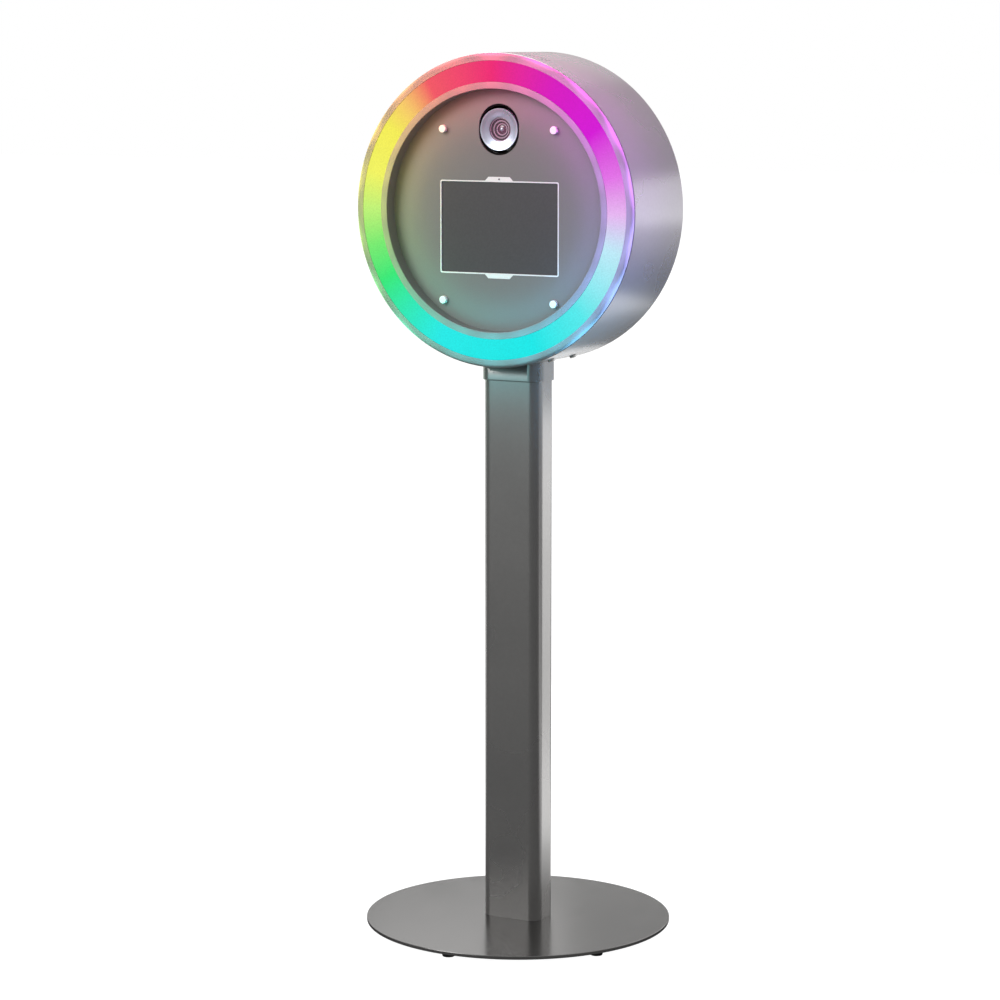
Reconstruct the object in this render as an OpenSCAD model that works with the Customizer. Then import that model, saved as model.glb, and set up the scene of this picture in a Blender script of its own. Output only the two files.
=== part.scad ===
// Free-standing photo booth: a round drum head with an LED ring, a tablet and a camera,
// on a rounded column and a round base plate.
// Frame: +Z up, the front faces -Y, origin on the floor under the column's axis. Millimetres.

/* [Base] */
// Radius of the round base plate
base_r = 265; // [262:1:280]
// Thickness of the base plate
base_t = 6; // [5:0.5:8]
// Height of the rubber feet under the base plate
foot_h = 6; // [5:0.5:10]
// Number of rubber feet
foot_count = 6; // [3:1:12]

/* [Column] */
// Width of the column, left to right
column_w = 110; // [106:1:114]
// Depth of the column, front to back
column_d = 66; // [62:1:70]
// Corner radius of the column
column_corner = 19; // [14:1:22]
// Wall thickness of the column tube
column_wall = 2.5; // [2:0.5:4]
// Wall thickness of the collar that the column stands in
collar_wall = 3.3; // [2.5:0.1:3.5]
// Height of the collar's lower edge above the floor
collar_z = 955; // [920:1:970]

/* [Head] */
// Outer radius of the drum
head_r = 264; // [262:1:266]
// Depth of the drum, front to back
head_depth = 192; // [188:1:200]
// Height of the drum's centre above the floor
head_z = 1247; // [1246:1:1280]
// Sheet thickness of the drum wall, faceplate and rear panel
sheet_t = 2; // [1.5:0.5:2]
// Radius of the vent holes in the top of the drum
vent_r = 2; // [1:0.5:3]

/* [Light ring] */
// Inner radius of the light ring
ring_inner_r = 215.2; // [214:0.1:217]
// Outer radius of the light ring
ring_outer_r = 250.4; // [249:0.1:251]
// Depth of the channel that holds the LEDs
channel_depth = 13.5; // [12:0.5:14]
// Number of LEDs on the ring
led_count = 60; // [24:12:72]

/* [Faceplate] */
// Radius of the recess that the faceplate closes
recess_r = 203.6; // [200:0.1:205]
// Depth of the faceplate behind the drum's front plane
recess_depth = 25.3; // [24:0.1:30]
// Width of the screen window
window_w = 226.7; // [220:0.1:230]
// Height of the screen window
window_h = 157.9; // [150:0.1:160]
// Drop of the window's centre below the drum's centre
window_drop = 29.2; // [28:0.1:32]
// Rise of the camera's centre above the drum's centre
camera_rise = 135.5; // [134:0.1:137]

/* [Rear] */
// Half width of the opening for the rear door
opening_half_w = 152; // [148:1:153]
// Top of the door opening above the drum's centre
opening_top = 150; // [145:1:152]
// Bottom of the door opening below the drum's centre
opening_bottom = 128; // [120:1:130]
// Drop of the socket, switch and button below the drum's centre
control_drop = 190; // [185:1:195]

/* [Hidden] */
// Facets of large and small circles
$fn = 48;
big_fn = 180;

// Small gap between pieces that slip past each other
slip = 0.2;
// Radial gap of a pin that turns in its hole
pin_gap = 0.05;

// Base and column
plate_z = foot_h;
floor_z = foot_h + base_t;
foot_ring_r = base_r - 15;
foot_r = 12;
block_h = 20;
anchor_x = 35;
anchor_y = 15;
anchor_r = 4;
inner_w = column_w - 2 * column_wall;
inner_d = column_d - 2 * column_wall;
inner_corner = column_corner - column_wall;

// Collar, saddle and shelf stacked in the bottom of the drum
collar_w = column_w + 2 * (slip + collar_wall);
collar_d = column_d + 2 * (slip + collar_wall);
collar_corner = column_corner + slip + collar_wall;
saddle_z = head_z - 236;
saddle_depth = 120;
flange_t = 4;
socket_bolt_x = 66;
socket_bolt_y = 42;
column_top_z = saddle_z + 25;
shelf_z = column_top_z + 4;
shelf_half_w = 158;
shelf_front_y = -40;
shelf_back_y = 84;
shelf_screws_xy = [[-40, -31], [40, -31], [14, 31]];
box_screw_xs = [-150, 0, 25, 125];
box_screw_y = 15;
clamp_x = 25;
clamp_z = collar_z + 14;
saddle_screw_angle = 18.5;

// Depths along Y, counted from the drum's centre
front_y = -head_depth / 2;
back_y = head_depth / 2;
inner_r = head_r - sheet_t;
face_y = front_y + recess_depth;
face_back_y = face_y + sheet_t;
tablet_t = 7;
tablet_back_y = face_back_y + tablet_t;
spacer_len = 12.7;
frame_y = face_back_y + spacer_len;
frame_t = 2;
frame_back_y = frame_y + frame_t;
frame_w = 264;
frame_h = 356;
channel_back_y = front_y + channel_depth + 2.5;
flange_front_y = front_y + 18;
rear_plate_y = back_y - 6;
rear_plate_out_y = rear_plate_y + sheet_t;
rear_screw_r = 254;

// Front bezel: outer radius just inside the drum's, edge rounding and wall thickness
bezel_r = head_r - 1;
bezel_round = 5;
bezel_wall = 2.5;
bezel_seam = 0.8;
flange_inner_r = head_r - 18;
bezel_screw_r = 256;
face_flange_r = recess_r + 14.4;
face_screw_r = recess_r + 7.4;

// Screen window, its tabs and the tablet
window_corner = 3.5;
line_w = 2.3;
tab_base = 54;
tab_top = 41;
tab_h = 6.7;
tablet_w = 248.6;
tablet_h = 179.5;
tablet_corner = 17;

// Four studs that carry the mounting frame
stud_x = 105.7;
stud_top = 135.6;
stud_bottom = -153.7;
stud_r = 2.5;
cap_r = 6.5;
cap_h = 6.5;

// Camera and its tilt pivot
lens_r = 35.25;
hole_w = 76;
hole_h = 86;
pivot_y = -34;
cheek_x = 44;
cheek_t = 3;
bracket_screw_x = 57;
bracket_screw_y = 10;
pivot_r = 3;
camera_half_w = 40;
camera_half_h = 33;

// Rear door, hinge and latch
door_lap = 8;
door_gap = 0.4;
door_y = rear_plate_out_y + door_gap;
door_t = 2;
door_out_y = door_y + door_t;
hinge_x = -opening_half_w - 13;
hinge_r = 4.5;
hinge_pin_r = 2;
hinge_y = rear_plate_out_y + hinge_r + door_gap;
hinge_heights = [95, -75];
leaf_screw_x = 17;
leaf_screw_z = 20;
latch_x = opening_half_w - 20;
latch_rise = (opening_top - opening_bottom) / 2;
latch_cam_y = rear_plate_y - 5.5;
latch_neck_r = 9.5;
latch_spindle_r = 6;

// Rear controls
inlet_x = 60;
inlet_body = [27.2, 20];
switch_x = 10;
switch_body = [19.8, 27.8];
button_x = -40;
button_body_r = 9.4;

// ---------- helpers ----------

// Head frame: x to the right, y up from the drum's centre, z towards the front
module head() {
    translate([0, 0, head_z]) rotate([90, 0, 0]) children();
}

// Inside head(): extrudes an outline from depth y0 to depth y1
module slab(y0, y1) {
    translate([0, 0, -y1]) linear_extrude(y1 - y0) children();
}

// Inside head(): a round rod along the depth
module rod(r, y0, y1) {
    slab(y0, y1) circle(r);
}

module rounded_rect(w, h, r) {
    square([w - 2 * r, h], center = true);
    square([w, h - 2 * r], center = true);
    for (sx = [-1, 1], sy = [-1, 1])
        translate([sx * (w / 2 - r), sy * (h / 2 - r)]) circle(r);
}

// Upright slot with round ends
module obround(w, h) {
    square([w, h - w], center = true);
    for (s = [-1, 1]) translate([0, s * (h - w) / 2]) circle(w / 2, $fn = 96);
}

module around(count, r, first = 0) {
    for (i = [0 : count - 1])
        rotate([0, 0, first + i * 360 / count]) translate([r, 0, 0]) children();
}

// Pan-head screw: the head stands on the plane z = 0, the shank points down
module pan_screw(shank_r, len) {
    difference() {
        union() {
            cylinder(h = shank_r * 0.9, r = shank_r * 2);
            translate([0, 0, shank_r * 0.9])
                cylinder(h = shank_r * 0.4, r1 = shank_r * 2, r2 = shank_r * 1.5);
        }
        translate([0, 0, shank_r * 0.6]) cylinder(h = shank_r, r = shank_r * 0.8, $fn = 6);
    }
    translate([0, 0, -len]) cylinder(h = len, r = shank_r);
}

// Countersunk screw seen from its head: the head's flat face is on z = 0, the shank points up
module countersunk_screw(shank_r, len) {
    difference() {
        cylinder(h = shank_r, r1 = shank_r * 2, r2 = shank_r);
        translate([0, 0, -0.1]) cylinder(h = shank_r * 0.7, r = shank_r * 0.7, $fn = 6);
    }
    translate([0, 0, shank_r]) cylinder(h = len - shank_r, r = shank_r);
}

module at_feet() {
    around(foot_count, foot_ring_r, -90) children();
}

module at_anchors() {
    for (sx = [-1, 1], sy = [-1, 1]) translate([sx * anchor_x, sy * anchor_y]) children();
}

module at_studs() {
    for (sx = [-1, 1], y = [stud_top, stud_bottom]) translate([sx * stud_x, y]) children();
}

// Window outline: a rounded rectangle with a trapezoid tab on its upper and lower side
module window_outline(grow) {
    rounded_rect(window_w + 2 * grow, window_h + 2 * grow, window_corner + grow);
    for (side = [0, 180]) rotate(side)
        translate([0, window_h / 2 - 1]) polygon([
            [-tab_base / 2 - grow, 0], [tab_base / 2 + grow, 0], [tab_base / 2 + grow, 1],
            [tab_top / 2 + grow, tab_h + 1 + grow], [-tab_top / 2 - grow, tab_h + 1 + grow],
            [-tab_base / 2 - grow, 1]
        ]);
}

module door_opening_outline(grow) {
    translate([0, latch_rise])
        rounded_rect(2 * (opening_half_w + grow), opening_top + opening_bottom + 2 * grow, 10 + grow);
}

// Insulated wire: straight runs through a list of points, with a round bead at each bend
module wire(points, r) {
    for (i = [0 : len(points) - 2]) {
        run = points[i + 1] - points[i];
        reach = norm(run);
        translate(points[i])
            rotate([0, acos(run[2] / reach), atan2(run[1], run[0])]) cylinder(h = reach, r = r, $fn = 24);
    }
    if (len(points) > 2)
        for (i = [1 : len(points) - 2]) translate(points[i]) sphere(r * 1.25, $fn = 24);
}

// ---------- base and column ----------

module base_plate() {
    bevel = 0.8;
    // The cutter of a countersink starts this far below the plate
    sink_cut = 0.1;
    color("dimgray") difference() {
        rotate_extrude($fn = big_fn) polygon([
            [0, plate_z], [base_r - bevel, plate_z], [base_r, plate_z + bevel],
            [base_r, floor_z - bevel], [base_r - bevel, floor_z], [0, floor_z]
        ]);
        at_anchors() translate([0, 0, plate_z - sink_cut]) {
            cylinder(h = base_t + 1, r = anchor_r);
            cylinder(h = anchor_r + sink_cut, r1 = anchor_r * 2 + sink_cut, r2 = anchor_r);
        }
        at_feet() translate([0, 0, plate_z - 0.5]) cylinder(h = base_t + 1 - 1.5, r = 2.5);
    }
}

module base_feet() {
    color("black") at_feet() difference() {
        cylinder(h = foot_h, r1 = foot_r - 2, r2 = foot_r);
        translate([0, 0, -0.1]) cylinder(h = foot_h - 2.9, r = 5.2);
        cylinder(h = foot_h + 1, r = 2.5);
    }
}

module foot_screws() {
    color("silver") at_feet() translate([0, 0, foot_h - 3])
        rotate([180, 0, 0]) pan_screw(2.5, 3 + base_t - 1.5);
}

module base_bolts() {
    color("silver") at_anchors() translate([0, 0, plate_z]) countersunk_screw(anchor_r, base_t + 14);
}

module column_foot_block() {
    color("silver") difference() {
        translate([0, 0, floor_z]) linear_extrude(block_h) rounded_rect(inner_w, inner_d, inner_corner);
        at_anchors() translate([0, 0, floor_z - 0.5]) cylinder(h = 16.5, r = anchor_r);
    }
}

module column() {
    color("dimgray") difference() {
        translate([0, 0, floor_z]) linear_extrude(column_top_z - floor_z) difference() {
            rounded_rect(column_w, column_d, column_corner);
            rounded_rect(inner_w, inner_d, inner_corner);
        }
        for (s = [-1, 1]) translate([s * clamp_x, column_d / 2 - column_wall - 1, clamp_z])
            rotate([-90, 0, 0]) cylinder(h = column_wall + 2, r = 3);
    }
}

// Collar with an inner flange on the saddle and a closed top that the column's end bears on
module head_socket() {
    color("dimgray") difference() {
        union() {
            translate([0, 0, collar_z]) linear_extrude(shelf_z - collar_z)
                rounded_rect(collar_w, collar_d, collar_corner);
            translate([0, 0, saddle_z]) linear_extrude(flange_t) rounded_rect(150, 104, 10);
        }
        translate([0, 0, collar_z - 1]) linear_extrude(column_top_z - collar_z + 1)
            rounded_rect(column_w + 2 * slip, column_d + 2 * slip, column_corner + slip);
        translate([0, 0, column_top_z - 1]) cylinder(h = 10, r = 15);
        for (sx = [-1, 1], sy = [-1, 1]) translate([sx * socket_bolt_x, sy * socket_bolt_y, saddle_z - 1])
            cylinder(h = flange_t + 2, r = 3);
        for (p = shelf_screws_xy) translate([p[0], p[1], column_top_z - 1]) cylinder(h = 10, r = 2);
        for (s = [-1, 1]) translate([s * clamp_x, collar_d / 2 - collar_wall - 1, clamp_z])
            rotate([-90, 0, 0]) cylinder(h = collar_wall + 2, r = 3);
    }
}

module socket_screws() {
    color("silver") for (s = [-1, 1]) translate([s * clamp_x, collar_d / 2, clamp_z])
        rotate([-90, 0, 0]) pan_screw(3, 12);
}

// Cast block that fits the curve of the drum and carries the collar's flange
module head_saddle() {
    color("silver") difference() {
        head() slab(-saddle_depth / 2, saddle_depth / 2) difference() {
            circle(inner_r, $fn = big_fn);
            translate([-head_r, saddle_z - head_z]) square([2 * head_r, 2 * head_r]);
        }
        translate([0, 0, collar_z]) linear_extrude(saddle_z - collar_z + 1)
            rounded_rect(collar_w + 2 * slip, collar_d + 2 * slip, collar_corner + slip);
        for (sx = [-1, 1], sy = [-1, 1]) translate([sx * socket_bolt_x, sy * socket_bolt_y, saddle_z - 14])
            cylinder(h = 15, r = 3);
        at_saddle_screws() translate([0, 0, 1]) cylinder(h = 16, r = 3);
    }
}

module socket_bolts() {
    color("silver") for (sx = [-1, 1], sy = [-1, 1])
        translate([sx * socket_bolt_x, sy * socket_bolt_y, saddle_z + flange_t]) {
            cylinder(h = 4, r = 5.6, $fn = 6);
            translate([0, 0, -16]) cylinder(h = 16, r = 3);
        }
}

// Places its children on the drum's outer skin, with z pointing to the drum's axis
module at_saddle_screws() {
    head() for (side = [-1, 1], depth = [-40, 40])
        rotate([0, 0, side * saddle_screw_angle]) translate([0, -head_r, depth])
            rotate([-90, 0, 0]) children();
}

module saddle_screws() {
    color("silver") at_saddle_screws() rotate([180, 0, 0]) pan_screw(3, 16);
}

// ---------- drum ----------

// One row of vent holes across the top of the drum
module vent_row(count, step, y) {
    for (i = [0 : count - 1])
        rotate([0, 0, (i - (count - 1) / 2) * step]) translate([0, inner_r - 2, -y])
            rotate([-90, 0, 0]) cylinder(h = sheet_t + 4, r = vent_r, $fn = 24);
}

module drum_shell() {
    color("gray") difference() {
        head() slab(front_y + 6 + bezel_seam, back_y) difference() {
            circle(head_r, $fn = big_fn);
            circle(inner_r, $fn = big_fn);
        }
        head() {
            for (y = [-62, -51]) vent_row(23, 1.7, y);
            for (y = [62, 73]) vent_row(9, 1.7, y);
        }
        translate([0, 0, head_z - head_r - 2]) linear_extrude(60)
            rounded_rect(collar_w + 1, collar_d + 1, collar_corner + 0.5);
        at_saddle_screws() translate([0, 0, -1]) cylinder(h = sheet_t + 2, r = 3);
    }
}

// Rings welded inside the drum: the bezel is screwed to the front one, the rear panel to the other
module drum_flanges() {
    color("gray") head() {
        slab(flange_front_y, flange_front_y + 2) difference() {
            circle(inner_r, $fn = big_fn);
            circle(flange_inner_r, $fn = big_fn);
            around(8, bezel_screw_r, 22.5) circle(1.5);
        }
        slab(rear_plate_y - 2, rear_plate_y) difference() {
            circle(inner_r, $fn = big_fn);
            circle(flange_inner_r, $fn = big_fn);
            around(8, rear_screw_r, 22.5) circle(2);
        }
    }
}

// Turned front ring: rounded rim, LED channel, inner lip, recess wall and faceplate flange
module front_bezel() {
    z = -front_y;
    rim_arc = [for (a = [0 : 10 : 90])
        [bezel_r - bezel_round + bezel_round * sin(a), z - bezel_round + bezel_round * cos(a)]];
    inner_edge = 0.8;
    z_channel = -channel_back_y;
    profile = concat(
        [[ring_outer_r, z - channel_depth], [ring_outer_r, z]],
        rim_arc,
        [
            [bezel_r, z - 6], [inner_r - 0.4, z - 6], [inner_r - 0.4, z - 18],
            [inner_r - 0.4 - bezel_wall, z - 18], [inner_r - 0.4 - bezel_wall, z - bezel_wall - 2],
            [ring_outer_r + bezel_wall, z - bezel_wall], [ring_outer_r + bezel_wall, z_channel],
            [ring_inner_r - bezel_wall, z_channel], [ring_inner_r - bezel_wall, z - bezel_wall],
            [recess_r + bezel_wall, z - bezel_wall], [recess_r + bezel_wall, z - recess_depth + bezel_wall],
            [face_flange_r, z - recess_depth + bezel_wall], [face_flange_r, z - recess_depth],
            [recess_r, z - recess_depth], [recess_r, z - inner_edge], [recess_r + inner_edge, z],
            [ring_inner_r, z], [ring_inner_r, z - channel_depth]
        ]
    );
    color("gray") head() difference() {
        union() {
            rotate_extrude($fn = big_fn) polygon(profile);
            around(8, bezel_screw_r, 22.5) rod(3.6, front_y + bezel_wall, flange_front_y);
        }
        around(8, bezel_screw_r, 22.5) rod(1.5, front_y + 5, flange_front_y + 1);
        around(8, face_screw_r, 0) rod(2, face_y - bezel_wall - 1, face_y + 1);
    }
}

module bezel_screws() {
    color("silver") head() around(8, bezel_screw_r, 22.5)
        translate([0, 0, -flange_front_y - 2]) rotate([180, 0, 0]) pan_screw(1.5, 12);
}

// Opal cover: a flat ring with two legs that stand on the channel's floor
module ring_diffuser() {
    z = -front_y;
    gap = 0.3;
    leg = 1.5;
    color("white") head() rotate_extrude($fn = big_fn) polygon([
        [ring_inner_r + gap, z - channel_depth], [ring_inner_r + gap, z - 0.2],
        [ring_outer_r - gap, z - 0.2],
        [ring_outer_r - gap, z - channel_depth], [ring_outer_r - gap - leg, z - channel_depth],
        [ring_outer_r - gap - leg, z - 3.2], [ring_inner_r + gap + leg, z - 3.2],
        [ring_inner_r + gap + leg, z - channel_depth]
    ]);
}

module led_ring_board() {
    color("darkgreen") head() slab(front_y + channel_depth - 1.6, front_y + channel_depth) difference() {
        circle(ring_outer_r - 4, $fn = big_fn);
        circle(ring_inner_r + 4, $fn = big_fn);
    }
}

module led_chips() {
    chip = 5;
    color("ivory") head() around(led_count, (ring_inner_r + ring_outer_r) / 2)
        slab(front_y + channel_depth - 3.2, front_y + channel_depth - 1.6) square(chip, center = true);
}

// ---------- faceplate and tablet ----------

module faceplate() {
    color("gray") head() slab(face_y, face_back_y) difference() {
        circle(face_flange_r - 1, $fn = big_fn);
        translate([0, camera_rise]) obround(hole_w, hole_h);
        translate([0, -window_drop]) window_outline(0);
        at_studs() circle(stud_r);
        around(8, face_screw_r, 0) circle(2);
    }
}

module faceplate_screws() {
    color("silver") head() around(8, face_screw_r, 0)
        translate([0, 0, -face_back_y]) rotate([180, 0, 0]) pan_screw(2, sheet_t + bezel_wall);
}

// Black rubber lip behind the camera opening
module lens_gasket() {
    color("black") head() translate([0, camera_rise]) slab(face_back_y, face_back_y + 2) difference() {
        obround(hole_w + 18, hole_h + 18);
        obround(72.4, 79.6);
    }
}

// White frame in the window: a thin line round the screen with a tab above and below
module screen_surround() {
    color("white") head() translate([0, -window_drop]) slab(face_y + 0.2, face_back_y) difference() {
        window_outline(-0.1);
        rounded_rect(window_w - 2 * line_w, window_h - 2 * line_w, window_corner - 1.5);
        translate([0, window_h / 2 + 2.6]) circle(1.6);
    }
}

module tablet_camera_lens() {
    color("black") head() translate([0, window_h / 2 + 2.6 - window_drop])
        rod(1.5, face_back_y - 1.4, face_back_y);
}

module tablet_body() {
    color("silver") head() translate([0, -window_drop]) difference() {
        slab(face_back_y, tablet_back_y) rounded_rect(tablet_w, tablet_h, tablet_corner);
        slab(face_back_y - 1, face_back_y + 1.2)
            rounded_rect(tablet_w - 2.4, tablet_h - 2.4, tablet_corner - 1.2);
    }
}

module tablet_glass() {
    color("black") head() translate([0, -window_drop])
        slab(face_back_y, face_back_y + 1.2)
            rounded_rect(tablet_w - 2.4, tablet_h - 2.4, tablet_corner - 1.2);
}

// Plate behind the tablet that carries the camera and presses the tablet to the faceplate
module mounting_frame() {
    color("silver") head() slab(frame_y, frame_back_y) difference() {
        translate([0, 6]) rounded_rect(frame_w, frame_h, 12);
        translate([0, camera_rise]) circle(lens_r + 5.75, $fn = 96);
        translate([0, -window_drop]) rounded_rect(140, 100, 8);
        at_studs() circle(stud_r);
        for (sx = [-1, 1], sy = [-1, 1])
            translate([sx * bracket_screw_x, camera_rise + sy * bracket_screw_y]) circle(2);
    }
}

module frame_spacers() {
    color("silver") head() at_studs() slab(face_back_y, frame_y) difference() {
        circle(6);
        circle(stud_r);
    }
}

module frame_studs() {
    color("silver") head() at_studs() rod(stud_r, face_y - cap_h + 2, frame_back_y + 6);
}

module stud_caps() {
    color("white") head() at_studs() translate([0, 0, -face_y]) rotate_extrude() polygon([
        [stud_r, 0], [cap_r, 0], [cap_r, cap_h - 0.8], [cap_r - 0.8, cap_h], [0, cap_h],
        [0, cap_h - 2], [stud_r, cap_h - 2]
    ]);
}

module frame_nuts() {
    color("silver") head() at_studs() slab(frame_back_y, frame_back_y + 4) difference() {
        circle(4.6, $fn = 6);
        circle(stud_r);
    }
}

// Stops that hold the tablet's edges in place
module tablet_clips() {
    stop = 3.5;
    color("black") head() translate([0, -window_drop]) slab(frame_y - 10, frame_y) {
        for (sx = [-1, 1], y = [-46, 46])
            translate([sx * (tablet_w / 2 + 0.2 + stop / 2), y]) square([stop, 24], center = true);
        for (sx = [-1, 1])
            translate([sx * 60, -tablet_h / 2 - 0.2 - stop / 2]) square([30, stop], center = true);
    }
}

module tablet_pads() {
    color("black") head() translate([0, -window_drop]) for (sx = [-1, 1], sy = [-1, 1])
        translate([sx * 95, sy * 65]) rod(12, tablet_back_y, frame_y);
}

// ---------- camera ----------

// Moves its children to the camera's optical axis
module on_camera_axis() {
    head() translate([0, camera_rise]) children();
}

// Moves its children to the tilt pivot, with z along the row's +X
module on_pivot() {
    translate([0, pivot_y, head_z + camera_rise]) rotate([0, 90, 0]) children();
}

module camera_brackets() {
    ear = 16;
    color("silver") difference() {
        for (side = [-1, 1]) union() {
            on_pivot() translate([0, 0, side * (cheek_x + cheek_t / 2) - cheek_t / 2]) {
                cylinder(h = cheek_t, r = ear);
                translate([-ear, frame_back_y - pivot_y, 0])
                    cube([2 * ear, pivot_y - frame_back_y, cheek_t]);
            }
            translate([side * (cheek_x + 10.5) - 10.5, frame_back_y, head_z + camera_rise - ear])
                cube([21, cheek_t, 2 * ear]);
        }
        on_pivot() translate([0, 0, -60]) cylinder(h = 120, r = pivot_r + pin_gap);
        on_camera_axis() for (sx = [-1, 1], sy = [-1, 1])
            translate([sx * bracket_screw_x, sy * bracket_screw_y])
                rod(2, frame_back_y - 1, frame_back_y + 5);
    }
}

// M4 screws of the brackets, the shelf and the two electronic boxes
module interior_screws() {
    color("silver") {
        on_camera_axis() for (sx = [-1, 1], sy = [-1, 1])
            translate([sx * bracket_screw_x, sy * bracket_screw_y, -frame_back_y - cheek_t])
                rotate([180, 0, 0]) pan_screw(2, 7);
        for (p = shelf_screws_xy) translate([p[0], p[1], shelf_z + 2]) pan_screw(2, 6);
        for (x = box_screw_xs) translate([x, box_screw_y, shelf_z + 4]) pan_screw(2, 4);
    }
}

module camera_body() {
    color("black") difference() {
        union() {
            on_camera_axis() slab(pivot_y - 12, pivot_y + 40)
                rounded_rect(2 * camera_half_w, 2 * camera_half_h, 8);
            on_pivot() translate([0, 0, -cheek_x + 0.3]) cylinder(h = 2 * cheek_x - 0.6, r = 9);
        }
        on_pivot() translate([0, 0, 26]) cylinder(h = 20, r = pivot_r);
        on_pivot() translate([0, 0, -46]) cylinder(h = 20, r = pivot_r);
    }
}

// Black barrel with stepped rings that narrow towards the sensor
module lens_barrel() {
    z = -face_y;
    floor_back = -(pivot_y - 12);
    color("black") on_camera_axis() rotate_extrude($fn = 96) polygon([
        [lens_r + 0.3, z - 5.2], [20.5, z - 5.2], [20.5, z - 7], [18, z - 7], [18, z - 8.2],
        [15.5, z - 8.2], [15.5, z - 9.4], [13, z - 9.4], [13, z - 10.6], [10.5, z - 10.6],
        [10.5, z - 11.8], [8, z - 11.8], [8, z - 14], [0, z - 14],
        [0, floor_back], [lens_r + 0.3, floor_back]
    ]);
}

// Bright dished ring round the front of the lens
module lens_trim_ring() {
    z = -face_y;
    color("silver") on_camera_axis() rotate_extrude($fn = 96) polygon([
        [lens_r, z - 5.2], [lens_r, z], [lens_r - 1, z], [20.5, z - 3.8], [20.5, z - 5.2]
    ]);
}

module lens_glass() {
    z = -face_y;
    color("lightblue", 0.4) on_camera_axis() rotate_extrude($fn = 96) polygon([
        [0, z - 6.9], [20.3, z - 6.9], [20.3, z - 5.6], [0, z - 5.6]
    ]);
}

module tilt_pin() {
    color("silver") on_pivot() translate([0, 0, -cheek_x - cheek_t - 1]) {
        cylinder(h = 21, r = pivot_r);
        translate([0, 0, -1.5]) cylinder(h = 1.5, r = 5);
    }
}

// Clamp knob with grip flutes and the threaded bolt that the camera turns on
module tilt_knob() {
    color("black") on_pivot() {
        translate([0, 0, cheek_x + cheek_t + 0.3]) difference() {
            cylinder(h = 12, r = 14);
            around(10, 15.5) translate([0, 0, -1]) cylinder(h = 14, r = 3);
        }
        translate([0, 0, 27]) cylinder(h = cheek_x + cheek_t + 1 - 27, r = pivot_r - pin_gap);
    }
}

// ---------- electronics ----------

module electronics_shelf() {
    color("silver") difference() {
        translate([-shelf_half_w, shelf_front_y, shelf_z])
            cube([2 * shelf_half_w, shelf_back_y - shelf_front_y, 2]);
        for (p = shelf_screws_xy) translate([p[0], p[1], shelf_z - 1]) cylinder(h = 4, r = 2);
        for (x = box_screw_xs) translate([x, box_screw_y, shelf_z - 1]) cylinder(h = 4, r = 2);
    }
}

// Box with an ear for a screw at each end
module ear_box(x0, x1, y0, y1, h) {
    ear = 10;
    difference() {
        union() {
            translate([x0, y0, shelf_z + 2]) cube([x1 - x0, y1 - y0, h]);
            translate([x0 - ear, box_screw_y - 10, shelf_z + 2]) cube([x1 - x0 + 2 * ear, 20, 2]);
        }
        for (x = [x0 - ear / 2, x1 + ear / 2]) translate([x, box_screw_y, shelf_z + 1])
            cylinder(h = 4, r = 2);
    }
}

module power_supply() {
    color("silver") ear_box(-145, -5, -24, 56, 34);
}

module led_controller() {
    color("white") ear_box(30, 120, -15, 45, 22);
}

module internal_wiring() {
    row_z = head_z - control_drop;
    box_z = shelf_z + 15;
    ring_entry_z = head_z - 220.6;
    color("red") {
        wire([[inlet_x, 72, row_z], [inlet_x, 64, row_z],
            [switch_x + 2, 64, row_z], [switch_x + 2, 76, row_z]], 2);
        wire([[switch_x - 4, 76, row_z - 6], [switch_x - 4, 50, row_z - 6], [-5, 50, row_z - 6]], 2);
        wire([[button_x, 70, row_z], [button_x, 62, row_z], [button_x, 62, row_z + 33],
            [75, 62, row_z + 33], [75, 30, row_z + 33], [75, 30, shelf_z + 24]], 1.5);
        wire([[-5, 30, box_z], [30, 30, box_z]], 2);
        wire([[75, -15, box_z - 2], [75, -45, box_z - 2], [75, -65, ring_entry_z],
            [75, channel_back_y, ring_entry_z]], 2);
        wire([[-100, -24, box_z + 5], [-100, -45, box_z + 5], [-60, -45, head_z - 90],
            [-60, -45, head_z - 45], [-60, tablet_back_y, head_z - 45]], 2);
    }
}

// ---------- rear ----------

module at_hinges() {
    for (h = hinge_heights) translate([hinge_x, hinge_y, head_z + h]) children();
}

module at_leaf_screws(side) {
    at_hinges() for (z = [-leaf_screw_z, leaf_screw_z]) translate([side * leaf_screw_x, 0, z]) children();
}

module back_plate() {
    color("gray") head() slab(rear_plate_y, rear_plate_out_y) difference() {
        circle(inner_r - 0.5, $fn = big_fn);
        door_opening_outline(0);
        around(8, rear_screw_r, 22.5) circle(2);
        translate([inlet_x, -control_drop]) square(inlet_body, center = true);
        translate([switch_x, -control_drop]) square(switch_body, center = true);
        translate([button_x, -control_drop]) circle(button_body_r);
        for (h = hinge_heights, z = [-leaf_screw_z, leaf_screw_z])
            translate([hinge_x - leaf_screw_x, h + z]) circle(2);
    }
}

// M4 screws of the rear panel and of the hinge leaves on it
module rear_screws() {
    color("silver") {
        head() around(8, rear_screw_r, 22.5) translate([0, 0, -rear_plate_out_y])
            rotate([180, 0, 0]) pan_screw(2, 7);
        at_leaf_screws(-1) translate([0, rear_plate_out_y + 2 - hinge_y, 0])
            rotate([-90, 0, 0]) pan_screw(2, 6);
    }
}

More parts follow.
